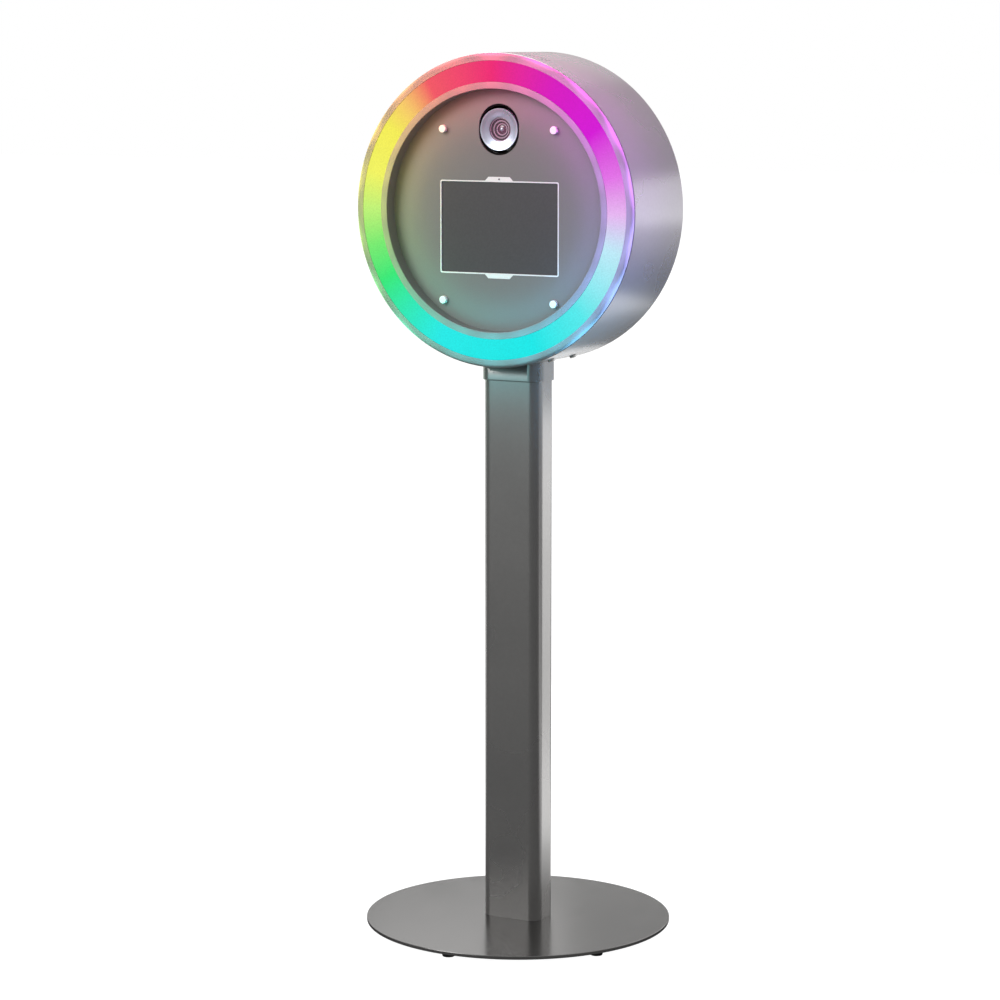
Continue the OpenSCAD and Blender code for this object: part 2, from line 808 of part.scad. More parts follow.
// Leaf plate from y0 to y0 + 2, reaching from 6 to 28 mm beside the hinge axis
module hinge_leaf(side, y0, bands) {
    difference() {
        union() {
            translate([side > 0 ? 6 : -28, y0 - hinge_y, -30]) cube([22, 2, 60]);
            for (b = bands) {
                translate([side > 0 ? 0 : -7, y0 - hinge_y, b[0]]) cube([7, 2, b[1] - b[0]]);
                translate([0, 0, b[0]]) cylinder(h = b[1] - b[0], r = hinge_r);
            }
        }
        translate([0, 0, -40]) cylinder(h = 80, r = side > 0 ? hinge_pin_r + pin_gap : hinge_pin_r);
        for (z = [-leaf_screw_z, leaf_screw_z]) translate([side * leaf_screw_x, y0 - hinge_y - 1, z])
            rotate([-90, 0, 0]) cylinder(h = 4, r = 2);
    }
}

module hinge_frame_leaves() {
    color("silver") at_hinges() hinge_leaf(-1, rear_plate_out_y, [[-30, -10.2], [10.2, 30]]);
}

module hinge_door_leaves() {
    color("silver") at_hinges() hinge_leaf(1, door_out_y, [[-9.8, 9.8]]);
}

module hinge_pins() {
    color("silver") at_hinges() {
        translate([0, 0, -30]) cylinder(h = 61, r = hinge_pin_r);
        translate([0, 0, 30]) cylinder(h = 2, r = 3.4);
    }
}

module door_hinge_screws() {
    color("silver") at_leaf_screws(1) translate([0, door_out_y + 2 - hinge_y, 0])
        rotate([-90, 0, 0]) pan_screw(2, 5);
}

module rear_door() {
    slot_w = 54;
    color("gray") head() slab(door_y, door_out_y) difference() {
        door_opening_outline(door_lap);
        for (sx = [-1, 1], i = [0 : 7]) translate([sx * 45, latch_rise - 70 + i * 20]) rotate(90)
            obround(5, slot_w);
        translate([latch_x, latch_rise]) circle(latch_neck_r);
        for (h = hinge_heights, z = [-leaf_screw_z, leaf_screw_z])
            translate([hinge_x + leaf_screw_x, h + z]) circle(2);
    }
}

module on_latch() {
    head() translate([latch_x, latch_rise]) children();
}

module latch_housing() {
    color("silver") on_latch() difference() {
        union() {
            rod(13, door_out_y, door_out_y + 2.5);
            rod(latch_neck_r, door_y - 4, door_out_y + 1);
            slab(door_y - 4, door_y) circle(13, $fn = 6);
        }
        rod(latch_spindle_r + pin_gap, door_y - 5, door_out_y + 4);
    }
}

// Finger knob with a grip bar, and the spindle that carries the cam
module latch_knob() {
    knob_y = door_out_y + 2.8;
    color("black") on_latch() {
        rod(latch_spindle_r, latch_cam_y + 1.5, knob_y + 1);
        rod(12, knob_y, knob_y + 5);
        slab(knob_y + 4, knob_y + 14) square([6, 22], center = true);
    }
}

module latch_cam() {
    color("silver") on_latch() slab(latch_cam_y - 1.5, latch_cam_y + 1.5) union() {
        circle(8);
        translate([0, -16]) square([14, 32], center = true);
    }
}

// Appliance inlet with three blades, open to the rear
module power_inlet() {
    color("black") head() translate([inlet_x, -control_drop]) {
        difference() {
            union() {
                slab(rear_plate_out_y, rear_plate_out_y + 3) rounded_rect(32, 25, 3);
                slab(rear_plate_out_y - 20, rear_plate_out_y) square(inlet_body, center = true);
            }
            slab(rear_plate_out_y - 15, rear_plate_out_y + 4) polygon([
                [-12.1, -8.2], [12.1, -8.2], [12.1, 4.2], [8.1, 8.2], [-8.1, 8.2], [-12.1, 4.2]
            ]);
        }
        for (p = [[-7, -2], [7, -2], [0, 2]])
            translate(p) slab(rear_plate_out_y - 16, rear_plate_out_y) square([2, 4], center = true);
    }
}

module on_switch() {
    translate([switch_x, rear_plate_out_y - 4, head_z - control_drop]) children();
}

module switch_housing() {
    color("black") difference() {
        head() translate([switch_x, -control_drop]) difference() {
            union() {
                slab(rear_plate_out_y, rear_plate_out_y + 2) rounded_rect(24, 32, 3);
                slab(rear_plate_out_y - 16, rear_plate_out_y) square(switch_body, center = true);
            }
            slab(rear_plate_out_y - 12, rear_plate_out_y + 3) square([14, 23.4], center = true);
        }
        on_switch() translate([-8.6, 0, 0]) rotate([0, 90, 0]) cylinder(h = 17.2, r = 1.5 + pin_gap);
    }
}

// Rocker tipped to its on side: two sloping faces, a round belly and its pivot pins
module switch_rocker() {
    tip = 8;
    color("black") on_switch() rotate([tip, 0, 0]) {
        translate([-6.7, 0, 0]) rotate([90, 0, 90]) linear_extrude(13.4) polygon([
            [8, -10.2], [5.5, 0], [8, 10.2], [0, 10.2], [-5, 4], [-5, -4], [0, -10.2]
        ]);
        translate([-8.4, 0, 0]) rotate([0, 90, 0]) cylinder(h = 16.8, r = 1.5);
    }
}

module button_housing() {
    color("silver") head() translate([button_x, -control_drop]) difference() {
        union() {
            rod(11, rear_plate_out_y, rear_plate_out_y + 2.5);
            rod(button_body_r, rear_plate_out_y - 22, rear_plate_out_y);
            slab(rear_plate_y - 4, rear_plate_y) circle(12.5, $fn = 6);
        }
        rod(7.5 + pin_gap, rear_plate_out_y - 12.5, rear_plate_out_y + 3);
    }
}

module light_button() {
    color("white") head() translate([button_x, -control_drop, -rear_plate_out_y]) rotate_extrude() polygon([
        [0, 10], [7.5, 10], [7.5, -3.6], [6.9, -4.2], [0, -4.2]
    ]);
}

// ---------- output ----------

base_plate();
base_feet();
foot_screws();
base_bolts();
column_foot_block();
column();
head_socket();
socket_screws();
head_saddle();
socket_bolts();
saddle_screws();
drum_shell();
drum_flanges();
front_bezel();
bezel_screws();
ring_diffuser();
led_ring_board();
led_chips();
faceplate();
faceplate_screws();
lens_gasket();
screen_surround();
tablet_body();
tablet_glass();
tablet_camera_lens();
mounting_frame();
frame_spacers();
frame_studs();
stud_caps();
frame_nuts();
tablet_clips();
tablet_pads();
camera_brackets();
interior_screws();
camera_body();
lens_barrel();
lens_trim_ring();
lens_glass();
tilt_pin();
tilt_knob();
electronics_shelf();
power_supply();
led_controller();
internal_wiring();
back_plate();
rear_screws();
hinge_frame_leaves();
hinge_pins();
hinge_door_leaves();
door_hinge_screws();
rear_door();
latch_housing();
latch_knob();
latch_cam();
power_inlet();
switch_housing();
switch_rocker();
button_housing();
light_button();
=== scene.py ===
import math
from math import cos, pi, radians, sin

import bmesh
import bpy
from mathutils import Matrix, Vector
from mathutils.geometry import tessellate_polygon


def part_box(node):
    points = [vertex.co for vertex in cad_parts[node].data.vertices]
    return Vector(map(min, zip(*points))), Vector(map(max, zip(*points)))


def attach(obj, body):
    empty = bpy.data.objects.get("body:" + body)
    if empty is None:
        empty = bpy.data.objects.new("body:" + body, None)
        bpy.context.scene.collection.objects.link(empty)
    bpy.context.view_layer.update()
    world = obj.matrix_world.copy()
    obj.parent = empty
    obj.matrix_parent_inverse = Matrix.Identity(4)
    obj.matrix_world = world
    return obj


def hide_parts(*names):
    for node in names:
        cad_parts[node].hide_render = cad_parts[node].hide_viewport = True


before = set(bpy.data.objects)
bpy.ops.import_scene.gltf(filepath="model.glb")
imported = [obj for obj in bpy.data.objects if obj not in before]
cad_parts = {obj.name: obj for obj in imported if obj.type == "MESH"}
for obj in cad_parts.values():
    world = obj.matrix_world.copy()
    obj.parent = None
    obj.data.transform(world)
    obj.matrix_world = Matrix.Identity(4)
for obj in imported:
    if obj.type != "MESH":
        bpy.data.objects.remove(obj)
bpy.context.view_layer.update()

# Looks of a free-standing photo booth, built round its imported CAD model. Metres, the front faces -Y.

MM = 0.001
BIG_STEPS = 192
SMALL_STEPS = 48
SHARP_ANGLE = radians(38)


def middle(node):
    """Centre of a CAD node's box."""
    low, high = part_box(node)
    return (low + high) / 2


def size(node):
    """Width, depth and height of a CAD node's box."""
    low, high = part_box(node)
    return high - low


def span(node):
    """Back and front of a CAD node, measured forwards from the column's axis."""
    low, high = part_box(node)
    return -high.y, -low.y


HEAD_Z = middle("drum_shell").z
DRUM_R = size("drum_shell").z / 2
BEZEL_R = size("front_bezel").z / 2
FRONT = span("front_bezel")[1]
FACE_BACK, FACE = span("faceplate")
RING_INNER = 215.2 * MM
RING_OUTER = 250.4 * MM
RING_MIDDLE = (RING_INNER + RING_OUTER) / 2
RECESS_R = 203.6 * MM

# Head frame: x to the right, y up from the drum's centre, z towards the front
HEAD = Matrix.Translation((0, 0, HEAD_Z)) @ Matrix.Rotation(radians(90), 4, "X")
WORLD = Matrix.Identity(4)


def in_head(x, y, z=0):
    return HEAD @ Matrix.Translation((x, y, z))


def link(name, data):
    """New object in the scene."""
    obj = bpy.data.objects.new(name, data)
    bpy.context.scene.collection.objects.link(obj)
    return obj


# ---------- camera ----------

def make_camera():
    data = bpy.data.cameras.new("camera")
    data.sensor_width = 36
    data.lens = 114.77
    data.dof.use_dof = False
    camera = link("camera", data)
    camera.location = (2.5513, -4.8044, 1.5308)
    camera.rotation_euler = (radians(81.792), 0, radians(28.303))
    bpy.context.scene.camera = camera


make_camera()


# ---------- outlines ----------

def mm(*points):
    """Points given in millimetres."""
    return [(x * MM, y * MM) for x, y in points]


def polar(radius, angle):
    return radius * cos(angle), radius * sin(angle)


def circle(radius, steps=SMALL_STEPS, at=(0, 0)):
    """Anticlockwise circle as a list of points."""
    spots = [polar(radius, 2 * pi * k / steps) for k in range(steps)]
    return [(at[0] + x, at[1] + y) for x, y in spots]


def screw_hole(x, y):
    return circle(2 * MM, 16, (x, y))


def fillet(corners, radii, steps=6):
    """Outline with each corner rounded by an arc of its own radius."""
    points = []
    for i, radius in enumerate(radii):
        here = Vector(corners[i])
        if radius == 0:
            points.append(tuple(here))
            continue
        back = (Vector(corners[i - 1]) - here).normalized()
        ahead = (Vector(corners[(i + 1) % len(corners)]) - here).normalized()
        half = back.angle(ahead) / 2
        centre = here + (back + ahead).normalized() * radius / sin(half)
        first = here + back * radius / math.tan(half) - centre
        last = here + ahead * radius / math.tan(half) - centre
        start = math.atan2(first.y, first.x)
        sweep = (math.atan2(last.y, last.x) - start + pi) % (2 * pi) - pi
        for k in range(steps + 1):
            x, y = polar(radius, start + sweep * k / steps)
            points.append((centre.x + x, centre.y + y))
    return points


def eased(corners, radii, steps=6):
    """Fillet whose radii are in millimetres."""
    return fillet(corners, [r * MM for r in radii], steps)


def rounded_rect(width, height, radius, at=(0, 0), steps=8):
    x, y = width / 2, height / 2
    corners = [(-x, -y), (x, -y), (x, y), (-x, y)]
    return [(p[0] + at[0], p[1] + at[1]) for p in fillet(corners, [radius] * 4, steps)]


def obround(width, height, at=(0, 0), steps=24):
    """Slot with round ends, upright or lying."""
    return rounded_rect(width, height, min(width, height) / 2 - 1e-6, at, steps)


def grown(outline, distance):
    """Outline moved to its right by a distance: outwards for an anticlockwise one."""
    moved = []
    for i, point in enumerate(outline):
        here = Vector(point)
        a = (here - Vector(outline[i - 1])).normalized()
        b = (Vector(outline[(i + 1) % len(outline)]) - here).normalized()
        side = Vector((a.y + b.y, -a.x - b.x))
        moved.append(tuple(here + side * distance / (1 + a.dot(b))))
    return moved


def rounded_levels(bottom, top, low_edge, high_edge, steps=3):
    """Heights and insets of a wall whose lower and upper edges are rounded by millimetres."""
    levels = []
    low_edge, high_edge = low_edge * MM, high_edge * MM
    for k in range(steps + 1):
        a = pi / 2 * k / steps
        levels.append((bottom + low_edge * (1 - cos(a)), low_edge * (1 - sin(a))))
    for k in range(steps, -1, -1):
        a = pi / 2 * k / steps
        levels.append((top - high_edge * (1 - cos(a)), high_edge * (1 - sin(a))))
    return levels


# ---------- shapes ----------

class Shape:
    """Vertices and faces of one piece while it is being built."""

    def __init__(self):
        self.verts = []
        self.faces = []

    def add(self, verts, faces):
        first = len(self.verts)
        self.verts.extend(verts)
        self.faces.extend([[first + i for i in face] for face in faces])

    def wall(self, place, rings):
        """Open skin over rings of (points, height)."""
        count = len(rings[0][0])
        faces = []
        for i in range(len(rings) - 1):
            low, high = i * count, (i + 1) * count
            for k in range(count):
                after = (k + 1) % count
                faces.append([low + k, low + after, high + after, high + k])
        self.add([place @ Vector((x, y, z)) for points, z in rings for x, y in points], faces)

    def flat(self, place, loops, height):
        """Flat face inside the first loop and outside the others."""
        rings = [[Vector((x, y, 0)) for x, y in loop] for loop in loops]
        verts = [place @ Vector((p.x, p.y, height)) for ring in rings for p in ring]
        self.add(verts, [list(triangle) for triangle in tessellate_polygon(rings)])

    def loft(self, place, rings):
        """Skin over rings of (points, height) with a flat face at each end."""
        self.wall(place, rings)
        for points, height in (rings[0], rings[-1]):
            self.add([place @ Vector((x, y, height)) for x, y in points], [list(range(len(points)))])

    def prism(self, place, outline, holes, levels):
        """Plate with holes between the first and last level, inset as the levels say. Returns the shape."""
        loops = [outline] + [hole[::-1] for hole in holes]
        for loop in loops:
            self.wall(place, [(grown(loop, -inset), height) for height, inset in levels])
        for height, inset in (levels[0], levels[-1]):
            self.flat(place, [grown(loop, -inset) for loop in loops], height)
        return self

    def pocket(self, place, loop, top, floor):
        """Walls and floor of a recess with a softened mouth. The face round it has the grown loop."""
        self.wall(place, [(grown(loop, 0.4 * MM), top), (loop, top - 0.4 * MM), (loop, floor)])
        self.flat(place, [loop], floor)

    def lathe(self, place, profile, steps=BIG_STEPS):
        """Closed profile of (radius, height) turned about the place's z axis. Returns the shape."""
        count = len(profile)
        verts = []
        for s in range(steps):
            a = 2 * pi * s / steps
            verts += [place @ Vector((r * cos(a), r * sin(a), z)) for r, z in profile]
        faces = []
        for s in range(steps):
            here, there = s * count, (s + 1) % steps * count
            for k in range(count):
                after = (k + 1) % count
                faces.append([here + k, there + k, there + after, here + after])
        self.add(verts, faces)
        return self

    def screw(self, place, radius, length, steps=24):
        """Pan-head screw with a hexagon socket: the head stands on z = 0, the shank points down."""
        head, socket = radius * 2, radius * 0.8

        def hexagon(r):
            angles = [2 * pi * k / steps for k in range(steps)]
            return [polar(r / cos((a + pi / 6) % (pi / 3) - pi / 6), a) for a in angles]

        turned = [(radius * 0.2, -length), (radius * 0.8, -length), (radius, -length + radius * 0.2),
                  (radius, 0), (head, 0), (head, radius * 0.7), (head * 0.97, radius * 0.95),
                  (head * 0.86, radius * 1.18), (head * 0.7, radius * 1.3)]
        rings = [(circle(r, steps), z) for r, z in turned]
        rings += [(hexagon(socket * 1.06), radius * 1.3), (hexagon(socket), radius * 1.22)]
        rings += [(hexagon(socket), radius * 0.6), (circle(radius * 0.1, steps), radius * 0.52)]
        self.loft(place, rings)

    def wire(self, points, radius, bend, sides=12):
        """Insulated wire along straight runs with round bends."""
        path = [Vector(points[0])]
        for i in range(1, len(points) - 1):
            here = Vector(points[i])
            back, ahead = Vector(points[i - 1]) - here, Vector(points[i + 1]) - here
            reach = min(bend, back.length * 0.45, ahead.length * 0.45)
            start, end = here + back.normalized() * reach, here + ahead.normalized() * reach
            for k in range(9):
                t = k / 8
                path.append(start * (1 - t) ** 2 + here * 2 * t * (1 - t) + end * t * t)
        path.append(Vector(points[-1]))
        across = (path[1] - path[0]).orthogonal().normalized()
        verts, faces = [], []
        for i, point in enumerate(path):
            along = (path[min(i + 1, len(path) - 1)] - path[max(i - 1, 0)]).normalized()
            across = (across - along * across.dot(along)).normalized()
            other = along.cross(across)
            for k in range(sides):
                a = 2 * pi * k / sides
                verts.append(point + (across * cos(a) + other * sin(a)) * radius)
        for i in range(len(path) - 1):
            for k in range(sides):
                after = (k + 1) % sides
                faces.append([i * sides + k, i * sides + after, (i + 1) * sides + after, (i + 1) * sides + k])
        faces.append(list(range(sides))[::-1])
        faces.append([(len(path) - 1) * sides + k for k in range(sides)])
        self.add(verts, faces)


def finish_mesh(mesh):
    """Welds the seams, turns the normals outwards and marks the sharp edges."""
    work = bmesh.new()
    work.from_mesh(mesh)
    bmesh.ops.remove_doubles(work, verts=work.verts, dist=1e-6)
    bmesh.ops.dissolve_degenerate(work, edges=work.edges, dist=1e-7)
    bmesh.ops.recalc_face_normals(work, faces=work.faces)
    work.to_mesh(mesh)
    work.free()
    mesh.shade_smooth()
    mesh.set_sharp_from_angle(angle=SHARP_ANGLE)


# CAD slots of the materials that have a name of their own
SLOTS = {
    "gunmetal_paint_flat": "gunmetal_paint", "gunmetal_paint_face": "gunmetal_paint",
    # The ribs' bright material is the barrel's lens black painted light as a highlight.
    "opal_light": "opal_acrylic", "lip_black": "black_rubber", "lens_rib": "lens_black",
    "lens_inner_glass": "lens_glass",
}


def piece(name, shape, material, node=None, body="booth", slot=None):
    """Makes a finished piece from a shape, puts it on its CAD body and hides the CAD node it stands for."""
    own_name = material.name.split(".")[0]
    slot = slot or SLOTS.get(own_name, own_name)
    mesh = bpy.data.meshes.new(name)
    mesh.from_pydata(shape.verts, [], shape.faces)
    finish_mesh(mesh)
    mesh.materials.append(material)
    obj = link(name, mesh)
    modifier = obj.modifiers.new("flat faces", "WEIGHTED_NORMAL")
    modifier.keep_sharp = True
    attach(obj, body)
    if node:
        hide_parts(node)


# ---------- materials ----------

def new_material(name):
    material = bpy.data.materials.new(name)
    material.use_nodes = True
    return material, material.node_tree, material.node_tree.nodes["Principled BSDF"]


def fill(tree, node, **values):
    """Sets or links the inputs of a node. Their names are given with _ for each space."""
    for name, value in values.items():
        socket = node.inputs[name.replace("_", " ")]
        if isinstance(value, bpy.types.NodeSocket):
            tree.links.new(value, socket)
        else:
            socket.default_value = value


def add_node(tree, kind, **values):
    node = tree.nodes.new("ShaderNode" + kind)
    fill(tree, node, **values)
    return node


def axes(tree, source="Object"):
    """The X, Y and Z sockets of a texture coordinate."""
    coords = add_node(tree, "TexCoord")
    return add_node(tree, "SeparateXYZ", Vector=coords.outputs[source]).outputs


def noise(tree, scale, detail=3, stretch=(1, 1, 1)):
    """Noise in the piece's own coordinates. The scale is in cells per metre."""
    coords = add_node(tree, "TexCoord")
    mapping = add_node(tree, "Mapping", Scale=stretch, Vector=coords.outputs["Object"])
    texture = add_node(tree, "TexNoise", Scale=scale, Detail=detail, Vector=mapping.outputs["Vector"])
    return texture.outputs["Fac"]


def ramp(tree, factor, stops):
    """Colour ramp over (place, colour) stops."""
    node = add_node(tree, "ValToRGB", Fac=factor)
    elements = node.color_ramp.elements
    while len(elements) < len(stops):
        elements.new(1)
    for element, (place, color) in zip(elements, stops):
        element.position = place
        element.color = (*color, 1)
    return node.outputs["Color"]


def spread(tree, factor, low, high):
    """Maps the middle of a noise to the range from low to high."""
    node = add_node(tree, "MapRange", From_Min=0.3, From_Max=0.7, To_Min=low, To_Max=high, Value=factor)
    return node.outputs["Result"]


def scaled(tree, colors, factor):
    node = tree.nodes.new("ShaderNodeVectorMath")
    node.operation = "SCALE"
    fill(tree, node, Vector=colors, Scale=factor)
    return node.outputs[0]


def add_bump(tree, shader, height, strength, distance):
    node = add_node(tree, "Bump", Strength=strength, Distance=distance, Height=height)
    fill(tree, shader, Normal=node.outputs["Normal"])


def surface(name, color, roughness, metallic=0.0, drift=0.08, grain=900, bump=0.05, stretch=(1, 1, 1),
            specular=0.5, coat=0.0, tint=1.0):
    """Surface whose tone, roughness and relief vary a little, as a real finish does."""
    material, tree, shader = new_material(name)
    dark = [c * (1 - drift) for c in color]
    light = [min(1, c * (1 + drift)) for c in color]
    fine = noise(tree, grain, 4, stretch)
    tone = noise(tree, grain / 30, 2, stretch)
    fill(tree, shader, Base_Color=ramp(tree, fine, [(0.35, dark), (0.65, light)]),
         Roughness=spread(tree, tone, roughness * 0.9, roughness * 1.1), Metallic=metallic,
         Specular_IOR_Level=specular, Specular_Tint=(tint, tint, tint, 1), Coat_Weight=coat,
         Coat_Roughness=0.15)
    add_bump(tree, shader, fine, bump, 0.2 * MM)
    return material


# Colours of the light ring, clockwise from the top as seen from the front, in degrees: a full colour wheel
RING_COLORS = [
    (0, (0.88, 0.02, 0.19)), (30, (0.7, 0.005, 0.55)), (55, (0.69, 0.005, 0.7)), (75, (0.8, 0.18, 0.82)),
    (90, (0.84, 0.5, 0.9)), (105, (0.55, 0.88, 0.96)), (135, (0.1, 0.87, 0.86)), (160, (0.01, 0.85, 0.84)),
    (205, (0.02, 0.87, 0.85)), (240, (0.04, 0.86, 0.2)), (255, (0.2, 0.88, 0.18)), (270, (0.55, 0.93, 0.2)),
    (285, (0.92, 0.94, 0.13)), (305, (0.94, 0.9, 0.1)), (317, (0.95, 0.6, 0.15)), (330, (0.92, 0.1, 0.14)),
    (360, (0.88, 0.02, 0.19)),
]


def between(stops, degrees):
    """Colour at an angle, between the two nearest stops."""
    for (a, first), (b, second) in zip(stops, stops[1:]):
        if a <= degrees <= b:
            t = (degrees - a) / (b - a)
            return tuple(p * (1 - t) + q * t for p, q in zip(first, second))


def calculate(tree, operation, *values):
    """Math node on sockets or plain numbers."""
    node = tree.nodes.new("ShaderNodeMath")
    node.operation = operation
    for socket, value in zip(node.inputs, values):
        if isinstance(value, (int, float)):
            socket.default_value = value
        else:
            tree.links.new(value, socket)
    return node.outputs[0]


def opal_light():
    """Lit opal cover: its colour runs round the ring, with the fine grain of the diffuser sheet."""
    material, tree, shader = new_material("opal_light")
    x, _, z = axes(tree)
    angle = calculate(tree, "ARCTAN2", x, calculate(tree, "SUBTRACT", z, HEAD_Z))
    turn = calculate(tree, "FRACT", calculate(tree, "DIVIDE", angle, 2 * pi))
    colors = ramp(tree, turn, [(degrees / 360, color) for degrees, color in RING_COLORS])
    grain = noise(tree, 420, 4)
    fill(tree, shader, Emission_Color=scaled(tree, colors, spread(tree, grain, 0.93, 1.07)),
         Emission_Strength=0.88, Base_Color=scaled(tree, colors, 0.02), Roughness=0.5, Specular_IOR_Level=0.1)
    add_bump(tree, shader, grain, 0.15, 0.3 * MM)
    return material


PAINT = surface("gunmetal_paint", (0.3, 0.295, 0.29), 0.28, metallic=0.9, drift=0.02, grain=160, bump=0.002,
                tint=0.85)
PLATE_PAINT = surface("gunmetal_paint_flat", (0.27, 0.265, 0.26), 0.2, metallic=1.0, drift=0.03, bump=0.01,
                      tint=0.6)
FACE_PAINT = surface("gunmetal_paint_face", (0.22, 0.216, 0.212), 0.5, metallic=0.2, drift=0.03, bump=0.02,
                     specular=0.3, tint=0.5)
OPAL = opal_light()
WHITE = surface("white_plastic", (0.93, 0.93, 0.92), 0.35, drift=0.02, grain=600, bump=0.03)
GLASS = surface("screen_glass", (0.055, 0.053, 0.056), 0.32, drift=0.06, grain=300, bump=0.01, coat=0.2)
BLACK = surface("black_plastic", (0.02, 0.02, 0.021), 0.45, drift=0.15, grain=1500, bump=0.12)
RUBBER = surface("black_rubber", (0.015, 0.015, 0.015), 0.7, drift=0.2, grain=1200, bump=0.2, specular=0.3)
LIP_BLACK = surface("lip_black", (0.004, 0.003, 0.003), 0.6, drift=0.2, grain=1200, bump=0.1, specular=0.08)
LENS_BLACK = surface("lens_black", (0.02, 0.012, 0.017), 0.35, drift=0.2, grain=1500, bump=0.03)
# Bright violet copy of the barrel's black for the ribs: a painted highlight on the step edges.
LENS_RIB_HIGHLIGHT = surface("lens_rib", (0.6, 0.45, 0.56), 0.3, metallic=0.5, drift=0.1, grain=1500, bump=0.02)
LENS_SILVER = surface("lens_silver", (0.6, 0.66, 0.78), 0.3, metallic=0.75, drift=0.04, grain=1200, bump=0.04)
STEEL = surface("zinc_steel", (0.55, 0.55, 0.54), 0.32, metallic=1.0, drift=0.1, grain=350, bump=0.05)
CAST = surface("cast_aluminium", (0.5, 0.5, 0.5), 0.5, metallic=1.0, drift=0.12, grain=500, bump=0.3)
BRUSHED = surface("tablet_aluminium", (0.6, 0.6, 0.61), 0.35, metallic=1.0, drift=0.06, grain=1500,
                  bump=0.05, stretch=(0.05, 1, 1))
BOARD = surface("circuit_board", (0.02, 0.12, 0.05), 0.4, drift=0.25, grain=200, bump=0.1)
LED = surface("led_package", (0.75, 0.72, 0.5), 0.3, drift=0.1, grain=800, bump=0.05)
WIRE = surface("wire_insulation", (0.35, 0.02, 0.02), 0.4, drift=0.1, grain=600, bump=0.05)


def coated_glass():
    """Clear lens glass with a faint violet coating."""
    material, tree, shader = new_material("lens_glass")
    violet = ramp(tree, noise(tree, 60, 2), [(0.4, (0.3, 0.16, 0.28)), (0.6, (0.34, 0.2, 0.34))])
    fill(tree, shader, Base_Color=violet, Alpha=0.07, Roughness=0.06, Coat_Weight=0.6, Coat_Roughness=0.03)
    return material


LENS_GLASS = coated_glass()
INNER_GLASS = surface("lens_inner_glass", (0.12, 0.06, 0.09), 0.12, drift=0.1, grain=300, bump=0.01, coat=1.0)


# ---------- base and column ----------

def make_base():
    low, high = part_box("base_plate")
    radius = high.x
    corners = [(0, low.z), (radius, low.z), (radius, high.z), (0, high.z)]
    shape = Shape().lathe(WORLD, eased(corners, [0, 0.9, 0.9, 0], 4), 256)
    piece("base_disc", shape, PLATE_PAINT, "base_plate")

    count = 6
    ring = size("base_feet").y / 2 - 12 * MM
    feet = Shape()
    for i in range(count):
        place = Matrix.Translation((*polar(ring, radians(-90 + 360 * i / count)), 0))
        top = low.z
        corners = [(5.2 * MM, 0), (10 * MM, 0), (12 * MM, top), (2.5 * MM, top), (2.5 * MM, top - 2.9 * MM),
                   (5.2 * MM, top - 2.9 * MM)]
        feet.lathe(place, eased(corners, [0.4, 1, 0.4, 0, 0, 0], 3), SMALL_STEPS)
    piece("rubber_feet", feet, RUBBER, "base_feet")


def make_column():
    low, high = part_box("column")
    width, depth = high.x - low.x, high.y - low.y
    corner, wall = 19 * MM, 2.5 * MM
    outside = rounded_rect(width, depth, corner, steps=16)
    inside = rounded_rect(width - 2 * wall, depth - 2 * wall, corner - wall, steps=16)
    shape = Shape().prism(WORLD, outside, [inside], rounded_levels(low.z, high.z, 0.4, 0.4, 2))
    piece("column_tube", shape, PAINT, "column")


def make_collar():
    low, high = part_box("head_socket")
    gap, wall = 0.2 * MM, 3.3 * MM
    column = size("column")
    corner, grow = 19 * MM, gap + wall
    outside = rounded_rect(column.x + 2 * grow, column.y + 2 * grow, corner + grow, steps=16)
    inside = rounded_rect(column.x + 2 * gap, column.y + 2 * gap, corner + gap, steps=16)
    column_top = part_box("column")[1].z
    flange_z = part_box("head_saddle")[1].z
    shape = Shape()
    shape.prism(WORLD, outside, [inside], rounded_levels(low.z, column_top, 1.6, 0, 4))
    shape.prism(WORLD, outside, [circle(15 * MM)], rounded_levels(column_top, high.z, 0, 0.6, 2))
    shape.prism(WORLD, rounded_rect(high.x - low.x, high.y - low.y, 10 * MM), [inside],
                rounded_levels(flange_z, flange_z + 4 * MM, 0, 0.5, 2))
    piece("head_collar", shape, PAINT, "head_socket")

    screws = Shape()
    for x in (-25 * MM, 25 * MM):
        back = column.y / 2 + grow
        place = Matrix.Translation((x, back, low.z + 14 * MM)) @ Matrix.Rotation(radians(-90), 4, "X")
        screws.screw(place, 3 * MM, 12 * MM)
    piece("collar_screws", screws, STEEL, "socket_screws")


# ---------- drum ----------

def arc_point(radius, degrees, y):
    """Point on the drum's skin at an angle from the top, clockwise as seen from the front."""
    a = radians(degrees)
    return Vector((radius * sin(a), y, HEAD_Z + radius * cos(a)))


